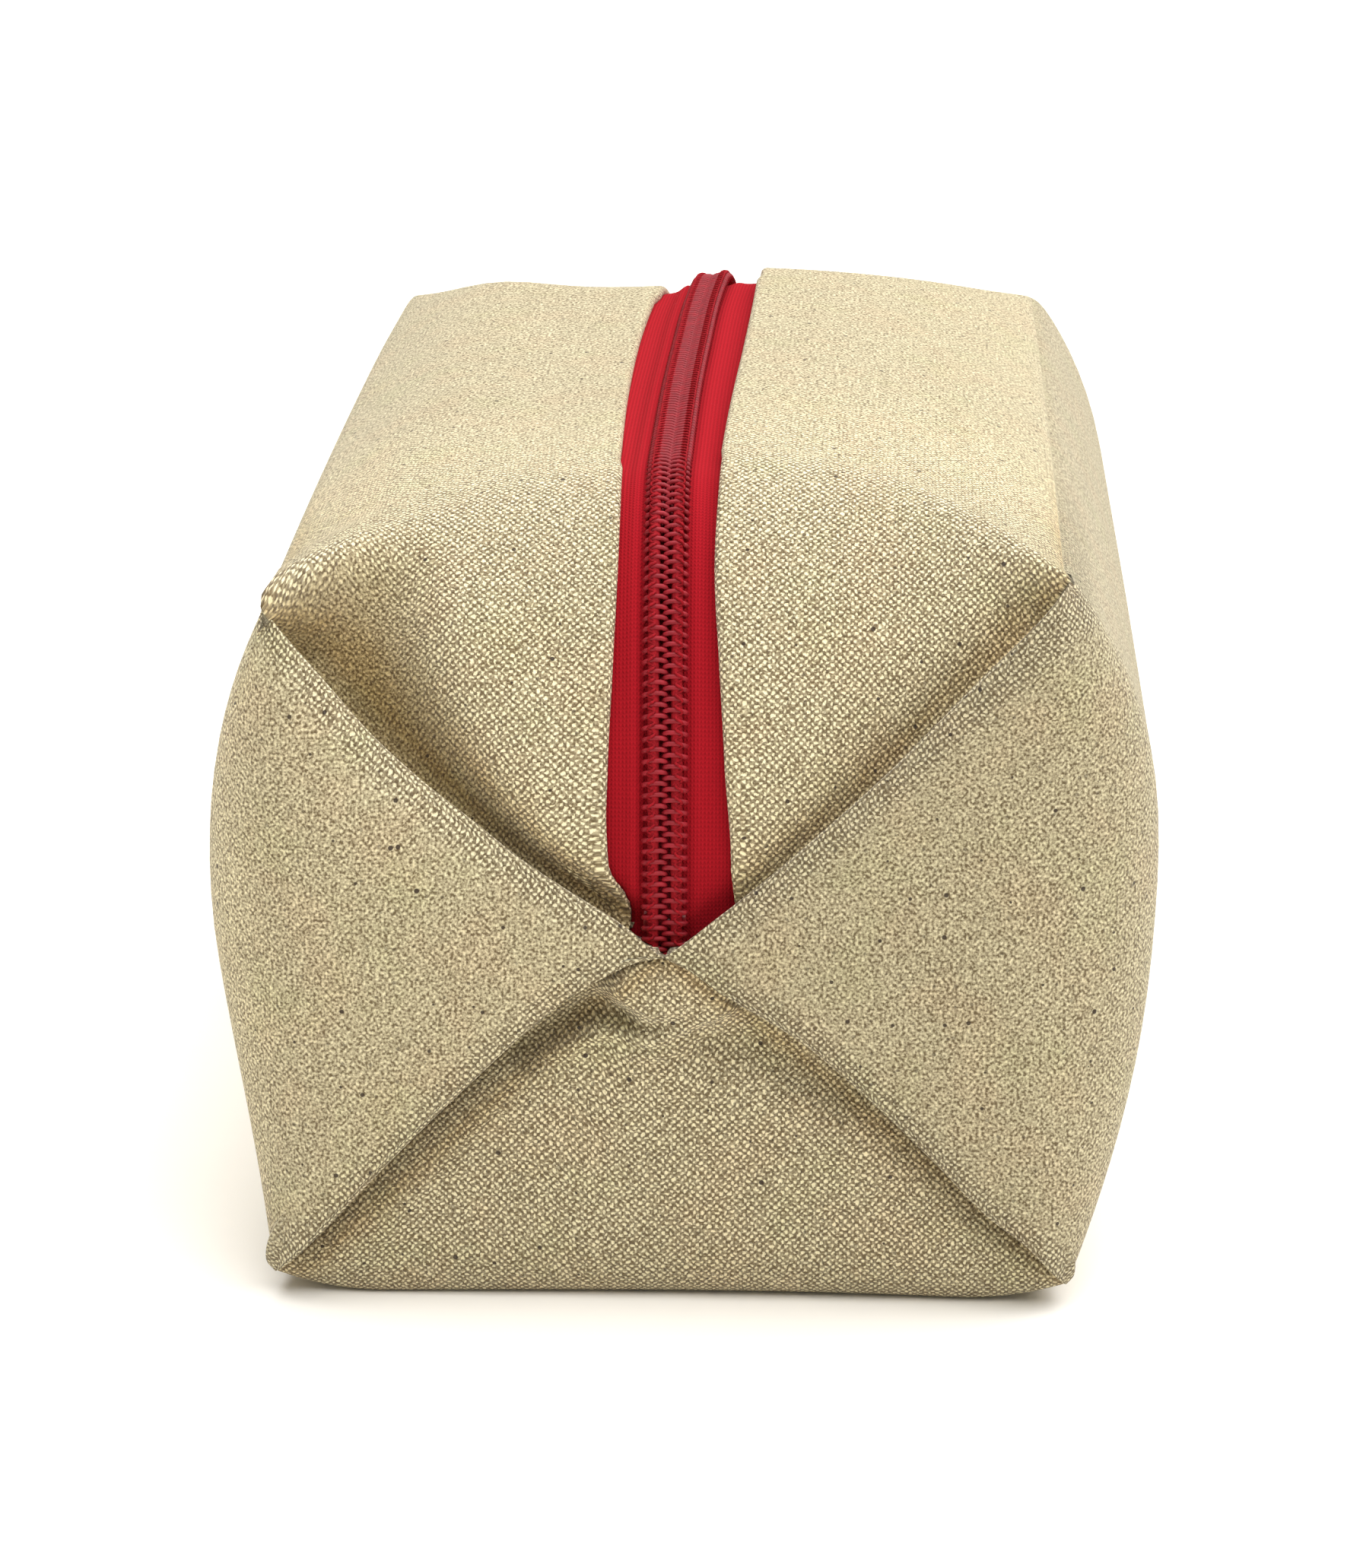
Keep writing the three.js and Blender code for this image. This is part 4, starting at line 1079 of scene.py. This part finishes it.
class POUCH_OT_canvas(bpy.types.Operator):
    """Lofts the canvas with its folds and hems, and replaces the plain shell"""

    bl_idname = "pouch.canvas"
    bl_label = "Canvas"

    def execute(self, context):
        sizes, colours = context.scene.pouch_sizes, context.scene.pouch_colours
        pouch = Pouch(sizes)
        line = ZipLine(pouch)
        points, zones = canvas_surface(pouch, line)
        even, _ = canvas_surface(Pouch(sizes, even=True), line)
        middle_row = pouch.end_rows + 1 + pouch.body_rows // 2
        uv = blend(*(cloth_coordinates(surface, zones, middle_row, pouch) for surface in (even, points)), 0.5)
        mesh, place = grid_mesh(points * MM, uv * MM)
        for name, values in zip((WEAVE, PAINTED_SHADING, PAINTED_FOLD_SHADE), weave_and_painted_shading(points, zones, pouch)):
            layer = mesh.verts.layers.float.new(name)
            for vert in mesh.verts:
                vert[layer] = values[place[vert.index]]
        piece = finish_piece("canvas", mesh, canvas_finish(sizes, colours))
        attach(piece, "pouch")
        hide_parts("canvas_shell")
        return {"FINISHED"}


def band(line, sections, stations):
    """Points of a closed band along the zip: sections gives (across, depth) pairs at each station."""
    rows = []
    for along in stations:
        section = np.array(sections(along))
        rows.append(line.place(along, section[:, 0], section[:, 1]))
    return np.array(rows)


class POUCH_OT_zip_tapes(bpy.types.Operator):
    """Makes the two tapes of the zip"""

    bl_idname = "pouch.zip_tapes"
    bl_label = "Zip tapes"

    def execute(self, context):
        sizes, colours = context.scene.pouch_sizes, context.scene.pouch_colours
        pouch = Pouch(sizes)
        line = ZipLine(pouch)
        material = tape_finish(colours)
        stations = np.linspace(-2.6, line.length - 1.7, 200)
        for name, side in SIDES:
            ridge = TAPE_RIDGES[name] * np.exp(-((TAPE_PLACES - RIDGE_PLACE) / RIDGE_WIDTH) ** 2)

            def section(along, side=side, ridge=ridge):
                height = np.full_like(TAPE_PLACES, np.interp(along, line.s, line.z) - pouch.seam)
                hollow = pouch.hollow(LEFT if side < 0 else TOP, side * TAPE_PLACES, height)
                hollow *= smoothstep(50.0, 35.0, height) * (along < HOLLOW_END)
                drop = TAPE_SAG * (TAPE_PLACES / TAPE_PLACES[-1]) ** 2 + hollow
                outer = np.stack([side * TAPE_PLACES, TAPE_OUTER + drop - ridge], -1)
                inner = np.stack([side * TAPE_PLACES[::-1], (TAPE_INNER + drop)[::-1]], -1)
                return np.concatenate([outer, inner, outer[:1]])

            points = band(line, section, stations)
            width = np.concatenate([TAPE_PLACES, TAPE_PLACES[::-1], TAPE_PLACES[:1]])
            if side < 0:
                points, width = points[:, ::-1], width[::-1]
            mesh, _ = grid_mesh(points, grid_of(width, stations) * MM)
            piece = finish_piece(f"{name}_tape", mesh, material)
            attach(piece, "pouch")
            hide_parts(f"{name}_zip_tape")
        return {"FINISHED"}


def tube(points, radius, sides):
    """Rings of points round a line of points, in metres."""
    tangent = unit(np.gradient(points, axis=0))
    first = unit(np.cross(tangent, np.array([0.0, 0.3, 1.0])))
    second = np.cross(tangent, first)
    angles = np.linspace(0, 2 * math.pi, sides + 1)
    return (
        points[:, None]
        + first[:, None] * (radius * np.cos(angles))[None, :, None]
        + second[:, None] * (radius * np.sin(angles))[None, :, None]
    )


class POUCH_OT_zip_coils(bpy.types.Operator):
    """Winds the two coils of the zip and sews them down"""

    bl_idname = "pouch.zip_coils"
    bl_label = "Zip coils"

    def execute(self, context):
        colours = context.scene.pouch_colours
        line = ZipLine(Pouch(context.scene.pouch_sizes))
        nylon, thread = coil_finish(colours), thread_finish(colours)
        first, last = COIL_START, line.length - COIL_END
        turns = int((last - first) / COIL_PITCH)
        parting_start = line.length - PARTING_START

        def beside(side, along, across, depth, skew=0.0):
            """Places beside the zip's line, moved aside where the slider parts the coils."""
            aside = PARTING * smoothstep(parting_start, parting_start + PARTING_LENGTH, along)
            return line.place(along + skew, side * (across + aside), depth)

        def turned(steps):
            """The angle at each step of the winding, and the length that it has wound."""
            phase = np.arange(turns * steps + 1) / steps
            return phase * 2 * math.pi, phase * COIL_PITCH

        for name, side in SIDES:
            start = first + (0.0 if side < 0 else COIL_PITCH / 2)
            angle, wound = turned(12)
            skew = 0.3 * COIL_PITCH * np.sin(angle + 0.9)
            across = COIL_ACROSS[0] - COIL_ACROSS[1] * np.cos(angle)
            depth = COIL_DEPTH[0] - COIL_DEPTH[1] * np.sin(angle)
            points = tube(beside(side, start + wound, across, depth, skew), COIL_WIRE * MM, 7)
            coil = closed_piece(f"{name}_coil", points if side < 0 else points[:, ::-1], nylon)
            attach(coil, "pouch")
            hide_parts(f"{name}_zip_coil")
            core = beside(side, np.linspace(first, last, 400), CORD_ACROSS, CORD_DEPTH)
            cord = closed_piece(f"{name}_coil_cord", tube(core, COIL_CORD * MM, 8), thread)
            angle, wound = turned(8)
            across = THREAD_ACROSS[0] + THREAD_ACROSS[1] * np.sin(angle)
            depth = THREAD_DEPTH[0] + THREAD_DEPTH[1] * np.cos(angle)
            path = beside(side, start + wound, across, depth)
            stitch = closed_piece(f"{name}_coil_stitch", tube(path, COIL_THREAD * MM, 6), thread)
            for piece in (cord, stitch):
                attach(piece, "pouch")
        return {"FINISHED"}


def rounded_copy(node, name, width, material):
    """A copy of a node with merged points and bevelled edges."""
    mesh = bmesh.new()
    mesh.from_mesh(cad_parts[node].data)
    bmesh.ops.remove_doubles(mesh, verts=mesh.verts, dist=WELD)
    bmesh.ops.dissolve_limit(mesh, angle_limit=math.radians(1), verts=mesh.verts, edges=mesh.edges)
    inner = [edge for edge in mesh.edges if len(edge.link_faces) == 2]
    sharp = [edge for edge in inner if edge.calc_face_angle() > math.radians(35)]
    bmesh.ops.bevel(
        mesh, geom=sharp, offset=width, offset_type="OFFSET", affect="EDGES",
        segments=2, profile=0.5, material=-1, clamp_overlap=True,
    )
    return finish_piece(name, mesh, material)


class POUCH_OT_slider(bpy.types.Operator):
    """Rounds the slider, its cap, spring and pull"""

    bl_idname = "pouch.slider"
    bl_label = "Slider and pull"

    def execute(self, context):
        paint = paint_finish(context.scene.pouch_colours)
        steel = steel_finish()
        for node, name, body, width, material, slot in (
            ("slider_body", "slider_shell", "slider", 0.25, paint, "zip_paint"),
            ("slider_cap", "slider_bridge", "slider", 0.2, paint, "zip_paint"),
            ("lock_spring", "slider_spring", "slider", 0.06, steel, "spring_steel"),
            ("pull_tab", "puller", "pull", 0.3, paint, "zip_paint"),
        ):
            piece = rounded_copy(node, name, width * MM, material)
            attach(piece, body)
            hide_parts(node)
        return {"FINISHED"}


class POUCH_OT_stops(bpy.types.Operator):
    """Rounds the metal stops at both ends of the zip"""

    bl_idname = "pouch.stops"
    bl_label = "Zip stops"

    def execute(self, context):
        paint = paint_finish(context.scene.pouch_colours)
        for node in ("left_top_stop", "right_top_stop", "bottom_stop"):
            piece = rounded_copy(node, f"{node}_clip", 0.15 * MM, paint)
            if node == "bottom_stop":
                for vert in piece.data.vertices:
                    vert.co.x *= 0.84
                    vert.co.y += 0.5 * MM
            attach(piece, "pouch")
            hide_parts(node)
        return {"FINISHED"}


class POUCH_OT_bindings(bpy.types.Operator):
    """Folds the binding over the raw edges of both end seams, inside the pouch"""

    bl_idname = "pouch.bindings"
    bl_label = "Seam bindings"

    def execute(self, context):
        material = binding_finish(context.scene.pouch_colours)
        for name, sign in (("front", -1), ("rear", 1)):
            low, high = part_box(f"{name}_seam_binding")
            middle_z = (low.z + high.z) / 2
            outer = (high.z - low.z) / 2
            inner = outer - 0.8 * MM
            inside, outside = (high.y, low.y) if sign < 0 else (low.y, high.y)
            nose = inside + sign * outer
            turn = np.linspace(math.pi / 2, -math.pi / 2, 9)

            def arc(radius, angles, nose=nose, sign=sign, middle_z=middle_z):
                return [(nose - sign * radius * math.cos(a), middle_z + radius * math.sin(a)) for a in angles]

            profile = [(outside, middle_z + outer), *arc(outer, turn)]
            profile += [(outside, middle_z - outer), (outside, middle_z - inner), *arc(inner, turn[::-1])]
            profile += [(outside, middle_z + inner), (outside, middle_z + outer)]
            stations = np.linspace(low.x, high.x, 60)
            points = np.array([[[x, y, z] for y, z in profile] for x in stations])
            uv = grid_of(lengths_along(np.array(profile)), stations)
            piece = closed_piece(f"{name}_binding", points, material, uv, smooth=False)
            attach(piece, "pouch")
            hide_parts(f"{name}_seam_binding")
        return {"FINISHED"}


class POUCH_OT_studio(bpy.types.Operator):
    """Sets the floor, the lights and the camera"""

    bl_idname = "pouch.studio"
    bl_label = "Studio"

    def execute(self, context):
        scene = context.scene
        mesh = bmesh.new()
        bmesh.ops.create_grid(mesh, x_segments=8, y_segments=8, size=4.0)
        mesh.loops.layers.uv.new(CLOTH_UV)
        floor = finish_piece("floor", mesh, floor_finish())
        world = bpy.data.worlds.new("studio_air")
        world.use_nodes = True
        background = world.node_tree.nodes["Background"]
        background.inputs["Color"].default_value = AIR_COLOUR
        background.inputs["Strength"].default_value = AIR_STRENGTH
        scene.world = world
        sky = bpy.data.lights.new("softbox", "SUN")
        sky.energy = SOFTBOX_STRENGTH
        sky.color = SOFTBOX_COLOUR
        sky.angle = math.radians(SOFTBOX_WIDTH)
        lamp = bpy.data.objects.new("softbox", sky)
        lamp.rotation_euler = [math.radians(angle) for angle in SOFTBOX_TURN]
        scene.collection.objects.link(lamp)
        lens = bpy.data.cameras.new("camera")
        lens.sensor_width = SENSOR
        lens.lens = FOCAL_LENGTH / PHOTO_HEIGHT * SENSOR
        lens.clip_start, lens.clip_end = 0.05, 20
        camera = bpy.data.objects.new("camera", lens)
        camera.location = CAMERA_PLACE
        camera.rotation_euler = [math.radians(angle) for angle in CAMERA_TURN]
        scene.collection.objects.link(camera)
        scene.camera = camera
        scene.view_settings.view_transform = "Standard"
        return {"FINISHED"}


class POUCH_PT_builder(bpy.types.Panel):
    """Buttons for the pieces of the pouch"""

    bl_label = "Canvas pouch"
    bl_space_type = "VIEW_3D"
    bl_region_type = "UI"
    bl_category = "Pouch"

    def draw(self, context):
        for group in (context.scene.pouch_sizes, context.scene.pouch_colours):
            column = self.layout.column()
            for name in group.bl_rna.properties.keys():
                if name not in ("rna_type", "name"):
                    column.prop(group, name)
        for operator in STEPS:
            self.layout.operator(operator.bl_idname)


STEPS = (
    POUCH_OT_studio,
    POUCH_OT_canvas,
    POUCH_OT_zip_tapes,
    POUCH_OT_zip_coils,
    POUCH_OT_slider,
    POUCH_OT_stops,
    POUCH_OT_bindings,
)
CLASSES = (PouchSizes, PouchColours, *STEPS, POUCH_PT_builder)


def register():
    for item in CLASSES:
        bpy.utils.register_class(item)
    bpy.types.Scene.pouch_sizes = bpy.props.PointerProperty(type=PouchSizes)
    bpy.types.Scene.pouch_colours = bpy.props.PointerProperty(type=PouchColours)


def unregister():
    del bpy.types.Scene.pouch_colours
    del bpy.types.Scene.pouch_sizes
    for item in reversed(CLASSES):
        bpy.utils.unregister_class(item)


def main():
    register()
    for step in STEPS:
        getattr(bpy.ops.pouch, step.bl_idname.split(".")[1])()


if __name__ == "__main__":
    main()
